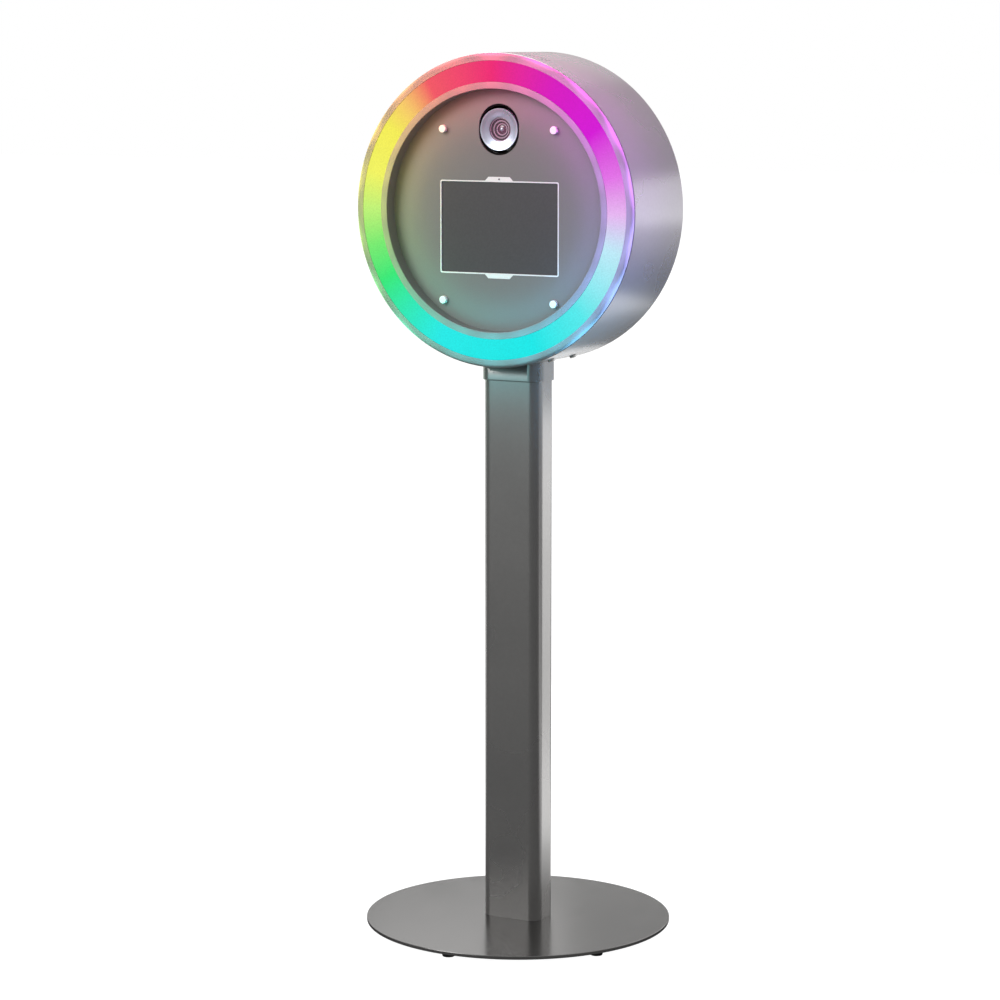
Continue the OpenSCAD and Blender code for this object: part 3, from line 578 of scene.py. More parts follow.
def make_drum():
    """Rolled drum wall with rows of vent holes through its top and softened front and rear edges."""
    low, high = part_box("drum_shell")
    inner, edge = DRUM_R - 2 * MM, 0.6 * MM
    columns, step, rest = 23, 1.7, 96
    hole_r, soft, sides = 2 * MM, 0.25 * MM, 16
    half = columns / 2 * step
    angles = [-half + step * k for k in range(columns + 1)]
    angles += [half + (360 - 2 * half) * k / rest for k in range(1, rest)]
    rows = [low.y + edge] + [y * MM for y in (-67.5, -56.5, -45.5, 0, 56.5, 67.5, 78.5)] + [high.y - edge]
    vents = {1: 11, 2: 11, 5: 4, 6: 4}  # row: holes on each side of the middle one
    shape = Shape()
    count = len(angles)

    def cell_corners(radius, i, j):
        a, b = angles[i], angles[(i + 1) % count]
        return [arc_point(radius, a, rows[j]), arc_point(radius, b, rows[j]),
                arc_point(radius, b, rows[j + 1]), arc_point(radius, a, rows[j + 1])]

    def vent_ring(radius, i, j, r):
        mid_angle, mid_y = angles[i] + step / 2, (rows[j] + rows[j + 1]) / 2
        points = []
        for k in range(sides):
            t = radians(225) + 2 * pi * k / sides
            around = mid_angle + math.degrees(r * cos(t) / DRUM_R)
            points.append(arc_point(radius, around, mid_y + r * sin(t)))
        return points

    quarter = sides // 4
    for i in range(count):
        for j in range(len(rows) - 1):
            vented = j in vents and i < columns and abs(i - columns // 2) <= vents[j]
            for radius in (DRUM_R, inner):
                corners = cell_corners(radius, i, j)
                if not vented:
                    shape.add(corners, [[0, 1, 2, 3]])
                    continue
                ring = vent_ring(radius, i, j, hole_r + (soft if radius == DRUM_R else 0))
                for side in range(4):
                    arc = [ring[(side * quarter + k) % sides] for k in range(quarter + 1)]
                    shape.add([corners[side], corners[(side + 1) % 4]] + arc[::-1],
                              [list(range(quarter + 3))])
            if vented:
                mouth = vent_ring(DRUM_R, i, j, hole_r + soft)
                throat = vent_ring(DRUM_R - soft, i, j, hole_r)
                exit_ring = vent_ring(inner, i, j, hole_r)
                quads = [[k, (k + 1) % sides, sides + (k + 1) % sides, sides + k] for k in range(sides)]
                shape.add(mouth + throat, quads)
                shape.add(throat + exit_ring, quads)
    for start, out in ((low.y, 1), (high.y, -1)):
        rings = [(DRUM_R, start + out * edge), (DRUM_R - 0.29 * edge, start + out * 0.29 * edge),
                 (DRUM_R - edge, start), (inner + edge * 0.5, start), (inner, start + out * edge)]
        for (r0, y0), (r1, y1) in zip(rings, rings[1:]):
            for i in range(count):
                a, b = angles[i], angles[(i + 1) % count]
                shape.add([arc_point(r0, a, y0), arc_point(r0, b, y0), arc_point(r1, b, y1),
                           arc_point(r1, a, y1)], [[0, 1, 2, 3]])
    piece("drum_wall", shape, PAINT, "drum_shell")


def make_bezel():
    """Turned front ring: rounded rim, channel for the light ring, inner lip and recess wall."""
    wall, step_back = 2.5 * MM, FRONT - 6 * MM
    channel = FRONT - 13.5 * MM
    tuck = DRUM_R - 2.4 * MM
    flange = RECESS_R + 14.4 * MM
    corners = [
        (RING_OUTER, channel), (RING_OUTER, FRONT), (BEZEL_R, FRONT), (BEZEL_R, step_back),
        (tuck, step_back), (tuck, FRONT - 18 * MM), (tuck - wall, FRONT - 18 * MM),
        (tuck - wall, FRONT - wall - 2 * MM), (RING_OUTER + wall, FRONT - wall),
        (RING_OUTER + wall, channel - wall), (RING_INNER - wall, channel - wall),
        (RING_INNER - wall, FRONT - wall), (RECESS_R + wall, FRONT - wall),
        (RECESS_R + wall, FACE + wall), (flange, FACE + wall), (flange, FACE), (RECESS_R, FACE),
        (RECESS_R, FRONT), (RING_INNER, FRONT), (RING_INNER, channel),
    ]
    radii = [0, 0.5, 5, 0.4] + [0] * 13 + [1.2, 0.5, 0]
    shape = Shape().lathe(HEAD, eased(corners, radii, 8))
    piece("bezel_ring", shape, FACE_PAINT, "front_bezel")


def make_diffuser():
    gap, leg, sheet = 0.3 * MM, 1.5 * MM, 3 * MM
    top, floor = FRONT - 0.2 * MM, FRONT - 13.5 * MM
    a, b = RING_INNER + gap, RING_OUTER - gap
    corners = [(a, floor), (a, top), (b, top), (b, floor), (b - leg, floor), (b - leg, top - sheet),
               (a + leg, top - sheet), (a + leg, floor)]
    shape = Shape().lathe(HEAD, eased(corners, [0, 0.7, 0.7, 0, 0, 0, 0, 0], 4))
    piece("light_ring_cover", shape, OPAL, "ring_diffuser")


# ---------- faceplate and tablet ----------

STUD_X = size("stud_caps").x / 2 - 6.5 * MM
STUD_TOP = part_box("stud_caps")[1].z - 6.5 * MM - HEAD_Z
STUD_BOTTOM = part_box("stud_caps")[0].z + 6.5 * MM - HEAD_Z
STUDS = [(x, y) for x in (-STUD_X, STUD_X) for y in (STUD_BOTTOM, STUD_TOP)]
CAMERA_UP = middle("lens_trim_ring").z - HEAD_Z
SCREEN_UP = middle("screen_surround").z - HEAD_Z
WINDOW_W, WINDOW_H, TAB_H = 226.7 * MM, 157.9 * MM, 6.7 * MM


def window(grow):
    """Screen window: a rounded rectangle with a tapered tab above and below."""
    x, y = WINDOW_W / 2, WINDOW_H / 2
    base, top = 27 * MM, 20.5 * MM
    corners = [(-x, -y), (-base, -y), (-top, -y - TAB_H), (top, -y - TAB_H), (base, -y), (x, -y)]
    corners += [(-p[0], -p[1]) for p in corners]
    outline = eased(corners, [3.5, 1, 1.2, 1.2, 1, 3.5] * 2)
    return [(x, y + SCREEN_UP) for x, y in grown(outline, grow)]


def make_faceplate():
    flange_r = RECESS_R + 13.4 * MM
    screw_r = RECESS_R + 7.4 * MM
    holes = [obround(76 * MM, 86 * MM, (0, CAMERA_UP)), window(0)]
    holes += [circle(2.5 * MM, 24, at) for at in STUDS]
    holes += [screw_hole(*polar(screw_r, pi / 4 * k)) for k in range(8)]
    shape = Shape().prism(HEAD, circle(flange_r, BIG_STEPS), holes,
                          rounded_levels(FACE_BACK, FACE, 0, 0.35, 2))
    piece("front_plate", shape, FACE_PAINT, "faceplate")


def make_screen():
    front = span("screen_surround")[1]
    line = 2.3 * MM
    inner = rounded_rect(WINDOW_W - 2 * line, WINDOW_H - 2 * line, 2 * MM, (0, SCREEN_UP))
    dot_y = middle("tablet_camera_lens").z - HEAD_Z
    shape = Shape().prism(HEAD, window(-0.1 * MM), [inner, circle(1.6 * MM, 24, (0, dot_y))],
                          rounded_levels(FACE_BACK, front, 0, 0.3, 2))
    piece("screen_frame", shape, WHITE, "screen_surround")

    glass = size("tablet_glass")
    low, high = span("tablet_glass")
    cover = Shape().prism(HEAD, rounded_rect(glass.x, glass.z, 15.8 * MM, (0, SCREEN_UP)), [],
                          rounded_levels(low, high, 0, 0.2, 2))
    piece("tablet_cover_glass", cover, GLASS, "tablet_glass")

    dot = Shape()
    top, bottom = span("tablet_camera_lens")[1], FACE_BACK
    r = 1.5 * MM
    profile = [(0, bottom), (r, bottom), (r, top - 0.3 * MM), (1.1 * MM, top - 0.1 * MM), (0, top)]
    dot.lathe(in_head(0, dot_y), profile, 24)
    piece("tablet_lens_dot", dot, LENS_BLACK, "tablet_camera_lens")


def make_caps():
    top = span("stud_caps")[1]
    radius = 6.5 * MM
    bore, bottom = 2.5 * MM, FACE + 4.5 * MM
    corners = [(0, bottom), (bore, bottom), (bore, FACE), (radius, FACE), (radius, top), (0, top)]
    profile = eased(corners, [0, 0, 0, 0.2, 1, 0])
    shape = Shape()
    for x, y in STUDS:
        shape.lathe(in_head(x, y), profile, SMALL_STEPS)
    piece("face_caps", shape, WHITE, "stud_caps")


# ---------- camera module ----------

def dome(radius, base, rim, rise):
    """Profile of a glass element with a flat back, an upright rim and a domed front."""
    turns = [radians(a) for a in range(0, 91, 10)]
    return [(0, base), (radius, base)] + [(radius * cos(a), base + rim + rise * sin(a)) for a in turns]


def make_lens():
    """Black lip, bright dished ring, stepped barrel with fine ribs whose bright violet is a painted
    highlight, two glass elements and a silver centre dome that is a painted highlight.
    """
    place = in_head(0, CAMERA_UP)
    lip_back, lip_front = span("lens_gasket")
    lip = Shape().prism(place, obround(94 * MM, 104 * MM), [obround(72.4 * MM, 79.6 * MM)],
                        rounded_levels(lip_back, lip_front, 0, 0.6, 3))
    piece("lens_lip", lip, LIP_BLACK, "lens_gasket")

    radius, waist = size("lens_trim_ring").x / 2, 20.5 * MM
    back, front = span("lens_trim_ring")
    step_r = 30 * MM
    corners = [(radius, back), (radius, front), (radius - 1.2 * MM, front), (step_r, front - 1.3 * MM),
               (step_r - 0.6 * MM, front - 1.7 * MM)]
    grooves, slope = 5, 2 / 9.3
    for i in range(grooves):
        r = step_r - (1.8 + 1.4 * i) * MM
        z = front - 1.7 * MM - (step_r - 0.6 * MM - r) * slope
        corners += [(r, z), (r - 0.2 * MM, z - 0.35 * MM), (r - 0.4 * MM, z - 0.4 * slope * MM)]
    corners += [(waist + 1.2 * MM, front - 3.7 * MM), (waist, front - 3.8 * MM), (waist, back)]
    ring = Shape().lathe(place, corners, 96)
    piece("lens_bright_ring", ring, LENS_SILVER, "lens_trim_ring", "camera")

    outer, floor_z = size("lens_barrel").x / 2, span("lens_barrel")[0]
    top = FACE - 5.2 * MM
    profile = [(0, floor_z), (outer, floor_z), (outer, top), (waist, top), (waist, top - 1.8 * MM)]
    steps, tread, rise = 5, 2.5 * MM, 1.2 * MM
    ribs = Shape()
    for i in range(steps):
        r, z = waist - tread * i, top - 1.8 * MM - rise * i
        profile += [(r - tread, z), (r - tread, z - rise)]
        # Every other step gets a rib in the bright rib material, a painted highlight.
        if i % 2 == 0:
            crest = z + 0.6 * MM
            rib = [(r - 2.1 * MM, z), (r - 0.2 * MM, z), (r - 0.5 * MM, crest), (r - 1.8 * MM, crest)]
            ribs.lathe(place, rib, 96)
    throat = waist - tread * steps
    profile += [(throat, FACE - 14 * MM), (0, FACE - 14 * MM)]
    barrel = Shape().lathe(place, profile, 96)
    piece("lens_barrel_rings", barrel, LENS_BLACK, "lens_barrel", "camera")
    piece("lens_rib_rings", ribs, LENS_RIB_HIGHLIGHT, body="camera")

    glass = Shape().lathe(place, dome(20.3 * MM, FACE - 6.9 * MM, 0.5 * MM, 0.8 * MM), 96)
    piece("lens_front_glass", glass, LENS_GLASS, "lens_glass", "camera")
    bulb_z = FACE - 13.9 * MM
    inner = Shape().lathe(place, dome(7.9 * MM, bulb_z, 0.3 * MM, 2.2 * MM), 64)
    piece("lens_inner_glass", inner, INNER_GLASS, body="camera")
    # Small silver dome in the middle of the lens: a painted highlight for the bright centre spot.
    core = Shape().lathe(place, dome(3.2 * MM, bulb_z + 2.3 * MM, 0.6 * MM, 1.6 * MM), 48)
    piece("lens_core_highlight", core, LENS_SILVER, body="camera")


# ---------- rear panel, door and controls ----------

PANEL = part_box("back_plate")[1].y
PANEL_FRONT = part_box("back_plate")[0].y
DOOR_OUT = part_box("rear_door")[1].y
DOOR_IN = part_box("rear_door")[0].y
DOOR_UP = middle("rear_door").z - HEAD_Z
HINGE_X = middle("hinge_pins").x
HINGE_Y = middle("hinge_pins").y
HINGE_UP = (95 * MM, -75 * MM)
LEAF_SCREW_X = 17 * MM
LEAF_SCREW_STEPS = (-20 * MM, 20 * MM)
LEAF_SCREWS_UP = [up + step for up in HINGE_UP for step in LEAF_SCREW_STEPS]
LATCH_X = middle("latch_housing").x
INLET_X = middle("power_inlet").x
SWITCH_X = middle("switch_housing").x
BUTTON_X = middle("light_button").x
CONTROLS_UP = middle("power_inlet").z - HEAD_Z


def facing(point, direction):
    """Place at a point whose z looks along a direction."""
    return Matrix.Translation(point) @ Vector(direction).to_track_quat("Z", "Y").to_matrix().to_4x4()


def on_rear(x, up):
    """Place on the rear: z is the depth towards the rear, y is up and x runs to the world's left."""
    turn = Matrix.Rotation(pi, 4, "Z") @ Matrix.Rotation(pi / 2, 4, "X")
    return Matrix.Translation((x, 0, HEAD_Z + up)) @ turn


def rear_screw(shape, x, up, y, length):
    shape.screw(facing((x, y, HEAD_Z + up), (0, 1, 0)), 2 * MM, length)


def leaf_screws(shape, side, y, length):
    for up in LEAF_SCREWS_UP:
        rear_screw(shape, HINGE_X + side * LEAF_SCREW_X, up, y, length)


def mirrored(outline):
    """Outline flipped left to right, still anticlockwise."""
    return [(-x, y) for x, y in outline][::-1]


def make_rear_panel():
    low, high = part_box("back_plate")
    lap = 8 * MM
    door = size("rear_door")
    opening = rounded_rect(door.x - 2 * lap, door.z - 2 * lap, 10 * MM, (0, DOOR_UP))
    spots = [polar(254 * MM, radians(22.5 + 45 * k)) for k in range(8)]
    holes = [opening] + [screw_hole(*spot) for spot in spots]
    holes.append(rounded_rect(27.2 * MM, 20 * MM, 0.2 * MM, (-INLET_X, CONTROLS_UP)))
    holes.append(rounded_rect(19.8 * MM, 27.8 * MM, 0.2 * MM, (-SWITCH_X, CONTROLS_UP)))
    holes.append(circle(9.4 * MM, 32, (-BUTTON_X, CONTROLS_UP)))
    holes += [screw_hole(LEAF_SCREW_X - HINGE_X, up) for up in LEAF_SCREWS_UP]
    shape = Shape().prism(on_rear(0, 0), circle((high.x - low.x) / 2, BIG_STEPS), holes,
                          rounded_levels(low.y, high.y, 0, 0.35, 2))
    piece("rear_panel", shape, PAINT, "back_plate")

    screws = Shape()
    for x, up in spots:
        rear_screw(screws, x, up, PANEL, 7 * MM)
    leaf_screws(screws, -1, PANEL + 2 * MM, 6 * MM)
    piece("rear_panel_screws", screws, STEEL, "rear_screws")


def make_door():
    door = size("rear_door")
    holes = [obround(54 * MM, 5 * MM, (side * 45 * MM, DOOR_UP + (20 * i - 70) * MM), 8)
             for side in (-1, 1) for i in range(8)]
    holes.append(circle(9.5 * MM, 32, (-LATCH_X, DOOR_UP)))
    holes += [screw_hole(-HINGE_X - LEAF_SCREW_X, up) for up in LEAF_SCREWS_UP]
    shape = Shape().prism(on_rear(0, 0), rounded_rect(door.x, door.z, 18 * MM, (0, DOOR_UP), 12), holes,
                          rounded_levels(DOOR_IN, DOOR_OUT, 0.2, 0.5, 3))
    piece("door_leaf", shape, PAINT, "rear_door", "door")

    screws = Shape()
    leaf_screws(screws, 1, DOOR_OUT + 2 * MM, 5 * MM)
    piece("door_leaf_screws", screws, STEEL, "door_hinge_screws", "door")


def hinge_leaf(shape, side, depth, reach, bands):
    """Leaf plate beside the hinge line. Its knuckles round the pin fill the bands, in millimetres."""
    half, far, near, gap = 30 * MM, 28 * MM, 6 * MM, 10 * MM
    sharp = 0.01
    if side < 0:
        corners = [(far, -half), (far, half), (-reach, half), (-reach, gap), (near, gap), (near, -gap),
                   (-reach, -gap), (-reach, -half)]
        outline = eased(corners, [2] * 2 + [sharp] * 6, 4)[::-1]
    else:
        corners = [(near, -half), (far, -half), (far, half), (near, half), (near, gap), (reach, gap),
                   (reach, -gap), (near, -gap)]
        outline = mirrored(eased(corners, [1, 2, 2, 1] + [sharp] * 4, 4))
    for up in HINGE_UP:
        holes = [screw_hole(-side * LEAF_SCREW_X, step) for step in LEAF_SCREW_STEPS]
        shape.prism(on_rear(HINGE_X, up), outline, holes, rounded_levels(depth, depth + 2 * MM, 0, 0.4, 2))
        for low, high in bands:
            tube = mm((2.25, low), (4.5, low), (4.5, high), (2.25, high))
            shape.lathe(Matrix.Translation((HINGE_X, HINGE_Y, HEAD_Z + up)),
                        eased(tube, [0, 0.4, 0.4, 0], 3), 32)


def make_hinges():
    frame_side, door_side = Shape(), Shape()
    hinge_leaf(frame_side, -1, PANEL, 0.5 * MM, [(-30, -10.2), (10.2, 30)])
    hinge_leaf(door_side, 1, DOOR_OUT, 3 * MM, [(-9.8, 9.8)])
    piece("hinge_leaves_frame", frame_side, STEEL, "hinge_frame_leaves")
    piece("hinge_leaves_door", door_side, STEEL, "hinge_door_leaves", "door")
    pins = Shape()
    for up in HINGE_UP:
        profile = mm((0, -30), (1.6, -30), (2, -29.6), (2, 30.1), (3.4, 30.1), (3.4, 30.9), (2.8, 31.6),
                     (1.5, 32), (0, 32))
        pins.lathe(Matrix.Translation((HINGE_X, HINGE_Y, HEAD_Z + up)), profile, 32)
    piece("hinge_pin_rods", pins, STEEL, "hinge_pins")


def make_latch():
    place = on_rear(LATCH_X, DOOR_UP)
    top, nut = DOOR_OUT + 2.5 * MM, DOOR_IN - 4 * MM
    bore, neck = 6.25 * MM, 9.5 * MM
    housing = Shape()
    corners = [(bore, nut), (neck, nut), (neck, DOOR_OUT), (13 * MM, DOOR_OUT), (13 * MM, top), (bore, top)]
    housing.lathe(place, eased(corners, [0, 0.3, 0, 0.2, 1, 0.5], 4), 64)
    housing.prism(place, circle(13 * MM, 6), [circle(neck)], rounded_levels(nut, DOOR_IN, 0.3, 0, 2))
    piece("latch_cylinder", housing, STEEL, "latch_housing", "door")

    low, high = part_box("latch_knob")
    knob_low = top + 0.3 * MM
    corners = [(0, low.y), (6 * MM, low.y), (6 * MM, knob_low), (12 * MM, knob_low),
               (12 * MM, knob_low + 5 * MM), (0, knob_low + 5 * MM)]
    knob = Shape()
    knob.lathe(place, eased(corners, [0, 0.4, 0, 0.4, 1.4, 0], 5), 64)
    knob.prism(place, rounded_rect(6 * MM, 22 * MM, 2.4 * MM), [],
               rounded_levels(knob_low + 4 * MM, high.y, 0, 1.6, 5))
    piece("latch_grip", knob, BLACK, "latch_knob", "latch")

    low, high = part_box("latch_cam")
    outline = [polar(8 * MM, radians(-28 + 236 * k / 32)) for k in range(33)]
    tip = mm((-7, -32), (7, -32))
    outline += eased(tip + [outline[0], outline[-1]], [3, 3, 0, 0], 5)[:12]
    cam = Shape().prism(place, outline, [], rounded_levels(low.y, high.y, 0.4, 0.4, 2))
    piece("latch_tongue", cam, STEEL, "latch_cam", "latch")


def recessed_box(shape, place, body, flange, mouth, depths):
    """Box behind the panel with a flange on it and a recess that is open to the rear."""
    back, seat, top, floor = depths
    shape.flat(place, [body], back)
    shape.wall(place, [(body, back), (body, seat)])
    shape.flat(place, [flange, body[::-1]], seat)
    rings = [(grown(flange, -inset), height) for height, inset in rounded_levels(seat, top, 0, 0.7, 4)]
    shape.wall(place, rings)
    shape.flat(place, [rings[-1][0], grown(mouth, 0.4 * MM)[::-1]], top)
    shape.pocket(place, mouth, top, floor)


def make_inlet():
    place = on_rear(INLET_X, CONTROLS_UP)
    low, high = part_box("power_inlet")
    x, y, cut = 12.1 * MM, 8.2 * MM, 4 * MM
    corners = [(-x, -y), (x, -y), (x, y - cut), (x - cut, y), (cut - x, y), (-x, y - cut)]
    shape = Shape()
    recessed_box(shape, place, rounded_rect(27.2 * MM, 20 * MM, 0.8 * MM),
                 rounded_rect(32 * MM, 25 * MM, 3 * MM), eased(corners, [1] * 6, 4),
                 (low.y, PANEL, high.y, PANEL - 15 * MM))
    piece("inlet_shell", shape, BLACK, "power_inlet")
    blades = Shape()
    for at in ((-7 * MM, -2 * MM), (7 * MM, -2 * MM), (0, 2 * MM)):
        blade = rounded_rect(2 * MM, 4 * MM, 0.3 * MM, at, 3)
        base, tip = PANEL - 15 * MM, PANEL
        blades.loft(place, [(blade, base), (blade, tip - 1.2 * MM), (grown(blade, -0.5 * MM), tip)])
    piece("inlet_blades", blades, STEEL)


def make_switch():
    place = on_rear(SWITCH_X, CONTROLS_UP)
    low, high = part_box("switch_housing")
    shape = Shape()
    recessed_box(shape, place, rounded_rect(19.8 * MM, 27.8 * MM, 0.8 * MM),
                 rounded_rect(24 * MM, 32 * MM, 3 * MM), rounded_rect(14 * MM, 23.4 * MM, 0.6 * MM),
                 (low.y, PANEL, high.y, PANEL - 12 * MM))
    piece("switch_frame", shape, BLACK, "switch_housing")

    tip, half = radians(8), 6.7 * MM
    sideways = Matrix(((0, 0, 1, 0), (1, 0, 0, 0), (0, 1, 0, 0), (0, 0, 0, 1)))
    pivot = Matrix.Translation((SWITCH_X, PANEL - 4 * MM, HEAD_Z + CONTROLS_UP))
    pivot = pivot @ Matrix.Rotation(tip, 4, "X") @ sideways
    corners = mm((8, -10.2), (5.5, 0), (8, 10.2), (0, 10.2), (-5, 4), (-5, -4), (0, -10.2))
    outline = eased(corners, [0.8, 6, 0.8, 1, 1, 1, 1], 5)
    rocker = Shape().prism(pivot, outline, [], rounded_levels(-half, half, 0.4, 0.4, 3))
    rocker.lathe(pivot, mm((0, -6.9), (1.5, -6.9), (1.5, 6.9), (0, 6.9)), 24)
    piece("switch_paddle", rocker, BLACK, "switch_rocker", "rocker")


def make_button():
    place = on_rear(BUTTON_X, CONTROLS_UP)
    low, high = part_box("button_housing")
    neck, bore, floor = 9.4 * MM, 7.7 * MM, PANEL - 12.5 * MM
    corners = [(0, low.y), (neck, low.y), (neck, PANEL), (11 * MM, PANEL), (11 * MM, high.y), (bore, high.y),
               (bore, floor), (0, floor)]
    shape = Shape().lathe(place, eased(corners, [0, 0.3, 0, 0.2, 1, 0.5, 0, 0], 4), 64)
    shape.prism(place, circle(12.5 * MM, 6), [circle(neck)],
                rounded_levels(PANEL_FRONT - 4 * MM, PANEL_FRONT, 0.3, 0, 2))
    piece("button_bezel", shape, STEEL, "button_housing")

    low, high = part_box("light_button")
    r = 7.5 * MM
    profile = [(0, low.y), (r, low.y), (r, high.y - 0.9 * MM), (r - 0.3 * MM, high.y - 0.3 * MM),
               (r - 1 * MM, high.y), (r - 2 * MM, high.y - 0.2 * MM), (r - 4 * MM, high.y - 0.7 * MM),
               (0, high.y - 0.9 * MM)]
    cap = Shape().lathe(place, profile, 64)
    piece("button_cap", cap, WHITE, "light_button", "button")


def make_saddle_screws():
    shape = Shape()
    for side in (-1, 1):
        for y in (-40 * MM, 40 * MM):
            a = radians(18.5 * side)
            out = Vector((sin(a), 0, -cos(a)))
            shape.screw(facing(Vector((0, y, HEAD_Z)) + out * DRUM_R, out), 3 * MM, 16 * MM, 36)
    piece("saddle_screw_set", shape, STEEL, "saddle_screws")


# ---------- electronics on the shelf ----------

SHELF_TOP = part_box("electronics_shelf")[1].z


def ear_box(shape, node, body, vents):
    """Case with a screw ear at each end and rows of shallow vent slots in its lid."""
    low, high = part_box(node)
    left, right, front, back = (v * MM for v in body)
    centre = ((left + right) / 2, (front + back) / 2)
    outline = rounded_rect(right - left, back - front, 1.5 * MM, centre, 4)
    slots = [obround(14 * MM, 2.4 * MM, (centre[0] + x * MM, centre[1] + y * MM), 5) for x, y in vents]
    levels = rounded_levels(low.z, high.z, 0, 1, 3)
    shape.wall(WORLD, [(grown(outline, -inset), height) for height, inset in levels])
    shape.flat(WORLD, [outline], low.z)
    lid = [grown(outline, -levels[-1][1])] + [grown(slot, 0.4 * MM)[::-1] for slot in slots]
    shape.flat(WORLD, lid, high.z)
    for slot in slots:
        shape.pocket(WORLD, slot, high.z, high.z - 1.6 * MM)
    ear, middle_y = 10 * MM, 20 * MM
    for x in (left - ear / 2, right + ear / 2):
        tab = rounded_rect(ear + 2 * MM, 20 * MM, 2 * MM, (x + (1 if x < left else -1) * MM, middle_y), 4)
        shape.prism(WORLD, tab, [screw_hole(x, middle_y)],
                    rounded_levels(low.z, low.z + 2 * MM, 0, 0.3, 2))


def make_boxes():
    supply = Shape()
    rows = [(x, y) for x in range(-50, 51, 20) for y in range(-28, 29, 7)]
    ear_box(supply, "power_supply", (-145, -5, -24, 56), rows)
    piece("power_supply_case", supply, STEEL, "power_supply")
    controller = Shape()
    slots = [(x, y) for x in (-28, -10) for y in range(-14, 15, 7)]
    ear_box(controller, "led_controller", (30, 120, -15, 45), slots)
    piece("led_controller_case", controller, WHITE, "led_controller")


def make_wires():
    """Mains leads from inlet to switch and supply; low-voltage leads to controller, ring and tablet."""
    row, box = HEAD_Z + CONTROLS_UP, SHELF_TOP + 13 * MM
    upper, lower = row + 33 * MM, row - 6 * MM
    ring_entry = HEAD_Z - 220.6 * MM
    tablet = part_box("tablet_body")[1].y / MM

    def run(shape, radius, bend, *points):
        """Wire through points: x and y in millimetres, z in metres."""
        shape.wire([(x * MM, y * MM, z) for x, y, z in points], radius * MM, bend * MM)

    inlet, switch, button = INLET_X / MM, SWITCH_X / MM, BUTTON_X / MM
    mains, leads = Shape(), Shape()
    run(mains, 2, 7, (inlet, 72, row), (inlet, 64, row), (switch + 2, 64, row), (switch + 2, 76, row))
    run(mains, 2, 8, (switch - 4, 76, lower), (switch - 4, 50, lower), (-5, 50, lower))
    piece("wires_mains", mains, BLACK, "internal_wiring", slot="wire_insulation")
    run(leads, 1.5, 8, (button, 70, row), (button, 62, row), (button, 62, upper), (75, 62, upper),
        (75, 30, upper), (75, 30, SHELF_TOP + 22 * MM))
    run(leads, 2, 8, (-5, 30, box), (30, 30, box))
    run(leads, 2, 10, (75, -15, box - 2 * MM), (75, -45, box - 2 * MM), (75, -65, ring_entry),
        (75, 16 - FRONT / MM, ring_entry))
    run(leads, 2, 12, (-100, -24, box + 5 * MM), (-100, -45, box + 5 * MM), (-60, -45, HEAD_Z - 90 * MM),
        (-60, -45, HEAD_Z - 45 * MM), (-60, tablet, HEAD_Z - 45 * MM))
    piece("wires_low_voltage", leads, WIRE)


# ---------- lights, floor and world ----------

def hang_lamp(name, location, direction, power, color):
    """Area lamp that doesn't show itself to the camera."""
    data = bpy.data.lights.new(name, "AREA")
    data.energy = power
    data.color = color
    lamp = link(name, data)
    lamp.location = location
    lamp.rotation_euler = direction.to_track_quat("-Z", "Y").to_euler()
    lamp.visible_camera = False
    return lamp


def area_light(name, location, target, width, height, power, color=(1, 1, 1)):
    lamp = hang_lamp(name, location, Vector(target) - Vector(location), power, color)
    lamp.data.shape = "RECTANGLE"
    lamp.data.size, lamp.data.size_y = width, height


# Colours that the light ring throws on what is round it, clockwise from the top, in degrees
GLOW_COLORS = [
    (0, (1.1, 0.08, 0.24)), (25, (0.95, 0.08, 0.6)), (50, (0.8, 0.08, 0.9)), (90, (0.4, 0.24, 0.8)),
    (120, (0.25, 0.42, 1.0)), (150, (0.06, 0.55, 0.75)), (190, (0.04, 0.55, 0.55)), (225, (0.06, 0.6, 0.3)),
    (250, (0.2, 0.6, 0.08)), (285, (0.7, 0.62, 0.06)), (315, (0.9, 0.42, 0.08)), (335, (1.0, 0.14, 0.1)),
    (360, (1.1, 0.08, 0.24)),
]


def make_ring_glow(name, disc, radius, ahead, power, count, behind=0, gap=0):
    """Round lamps about the head for the light that the ring throws.

    They face straight back, or towards the drum's axis a distance behind them. A gap in degrees is left
    at the bottom for the column.
    """
    for i in range(count):
        degrees = 360 * i / count
        if abs(degrees - 180) < gap:
            continue
        point = arc_point(radius, degrees, -FRONT - ahead)
        aim = Vector((0, point.y + behind, HEAD_Z)) - point if behind else Vector((0, 1, 0))
        lamp = hang_lamp(f"{name}_{i}", point, aim, power, between(GLOW_COLORS, degrees))
        lamp.data.shape = "DISK"
        lamp.data.size = disc
        lamp.visible_glossy = False


def split_rays(tree, camera, others, output):
    """Sends one shader to the camera's rays and the other to all other rays."""
    share = add_node(tree, "MixShader", Fac=add_node(tree, "LightPath").outputs["Is Camera Ray"])
    tree.links.new(others, share.inputs[1])
    tree.links.new(camera, share.inputs[2])
    fill(tree, tree.nodes[output], Surface=share.outputs[0])


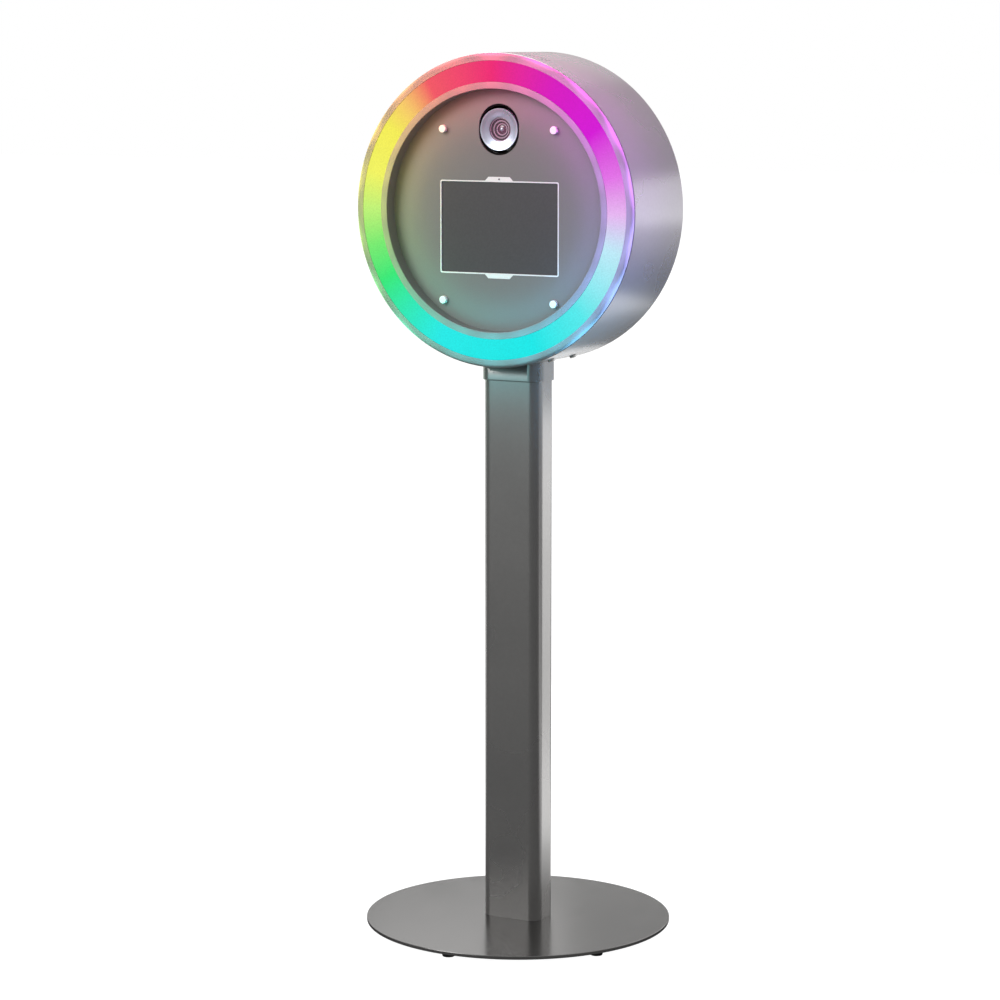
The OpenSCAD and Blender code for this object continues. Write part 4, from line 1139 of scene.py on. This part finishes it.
def make_floor():
    """Pale floor: white to the camera, and for reflections bright behind the object and dim before it."""
    reach = 30
    mesh = bpy.data.meshes.new("floor")
    mesh.from_pydata([(-reach, -reach, 0), (reach, -reach, 0), (reach, reach, 0), (-reach, reach, 0)], [],
                     [(0, 1, 2, 3)])
    material, tree, shader = new_material("floor_pale")
    near, far = -1, 5
    depth = calculate(tree, "MULTIPLY_ADD", axes(tree)["Y"], 1 / (far - near), -near / (far - near))
    levels = [(0.0, 0.05), (0.12, 0.05), (0.18, 0.02), (0.23, 0.9), (0.3, 0.9), (0.4, 0.22), (0.6, 0.25),
              (1.0, 0.9)]
    fill(tree, shader, Base_Color=(0.12, 0.12, 0.12, 1), Roughness=0.9, Specular_IOR_Level=0.1,
         Emission_Color=ramp(tree, depth, [(place, (level,) * 3) for place, level in levels]),
         Emission_Strength=1.0)
    lit = tree.nodes.new("ShaderNodeAddShader")
    tree.links.new(add_node(tree, "Emission").outputs[0], lit.inputs[0])
    tree.links.new(add_node(tree, "BsdfDiffuse", Color=(0.2, 0.2, 0.2, 1)).outputs[0], lit.inputs[1])
    split_rays(tree, lit.outputs[0], shader.outputs[0], "Material Output")
    mesh.materials.append(material)
    floor = link("floor", mesh)


def make_world():
    """Pale studio: white to the camera, and for light a room that is brightest round the horizon."""
    world = bpy.data.worlds.new("studio")
    bpy.context.scene.world = world
    world.use_nodes = True
    tree = world.node_tree
    _, y, z = axes(tree, "Generated")
    stops = [(0.0, (0.6,) * 3), (0.15, (0.65,) * 3), (0.5, (0.85,) * 3), (1.0, (0.6,) * 3)]
    room = tree.nodes["Background"]
    fill(tree, room, Color=ramp(tree, z, stops), Strength=calculate(tree, "MULTIPLY_ADD", y, 0.28, 0.8))
    white = add_node(tree, "Background", Color=(1, 1, 1, 1))
    split_rays(tree, white.outputs[0], room.outputs[0], "World Output")


def make_lights():
    area_light("key", (-2.6, -3.9, 3.7), (0, 0, 1.1), 2.8, 2.8, 185)
    area_light("low_panel", (-2.4, -4.4, 1.2), (0, 0, 0.9), 2.4, 1.4, 8)
    area_light("left_panel", (-1.55, 0.8, 0.85), (0, 0, 0.85), 1.0, 1.6, 4)
    area_light("side_strip", (0.32, 0.52, 0.42), (0.04, 0, 0.42), 0.2, 0.84, 0.8)
    area_light("rear_right", (1.0, 1.4, 1.28), (0.2, 0, 1.25), 0.9, 0.5, 1.7, (0.94, 0.94, 1.0))
    area_light("rear_top", (-0.6, 1.7, 2.1), (0, 0, 1.45), 1.0, 0.7, 0.9)
    area_light("under_left", (-0.95, 1.9, 0.15), (0.1, 0, 1.0), 0.8, 0.4, 2.2)
    area_light("rear_left", (-0.95, 1.5, 1.0), (0, 0, 1.0), 0.5, 1.0, 1.2)
    area_light("collar_glow", (-0.17, -0.36, 0.96), (0, -0.04, 0.95), 0.32, 0.12, 0.12, (0.15, 0.8, 0.85))
    make_ring_glow("rim_glow", 50 * MM, RING_MIDDLE, 28 * MM, 0.055, 24)
    make_ring_glow("face_glow", 50 * MM, 192 * MM, 18 * MM, 0.0075, 20)
    make_ring_glow("side_glow", 200 * MM, DRUM_R + 90 * MM, -30 * MM, 1.0, 18, 900 * MM, 35)


# ---------- making it all ----------

bpy.context.scene.view_settings.view_transform = "Standard"
make_world()
make_floor()
make_lights()
make_base()
make_column()
make_collar()
make_drum()
make_bezel()
make_diffuser()
make_faceplate()
make_screen()
make_caps()
make_lens()
make_rear_panel()
make_door()
make_hinges()
make_latch()
make_inlet()
make_switch()
make_button()
make_saddle_screws()
make_boxes()
make_wires()

for names, finish in (
    (["column_foot_block", "head_saddle"], CAST),
    (["base_bolts", "socket_bolts", "bezel_screws", "faceplate_screws", "frame_studs", "frame_nuts",
      "frame_spacers", "interior_screws", "foot_screws", "tilt_pin", "camera_brackets", "mounting_frame",
      "electronics_shelf"], STEEL),
    (["drum_flanges"], PAINT),
    (["tablet_body"], BRUSHED),
    (["led_ring_board"], BOARD),
    (["led_chips"], LED),
    (["tablet_pads", "tablet_clips"], RUBBER),
    (["camera_body", "tilt_knob"], BLACK),
):
    for name in names:
        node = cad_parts[name]
        node.data.materials.clear()
        node.data.materials.append(finish)
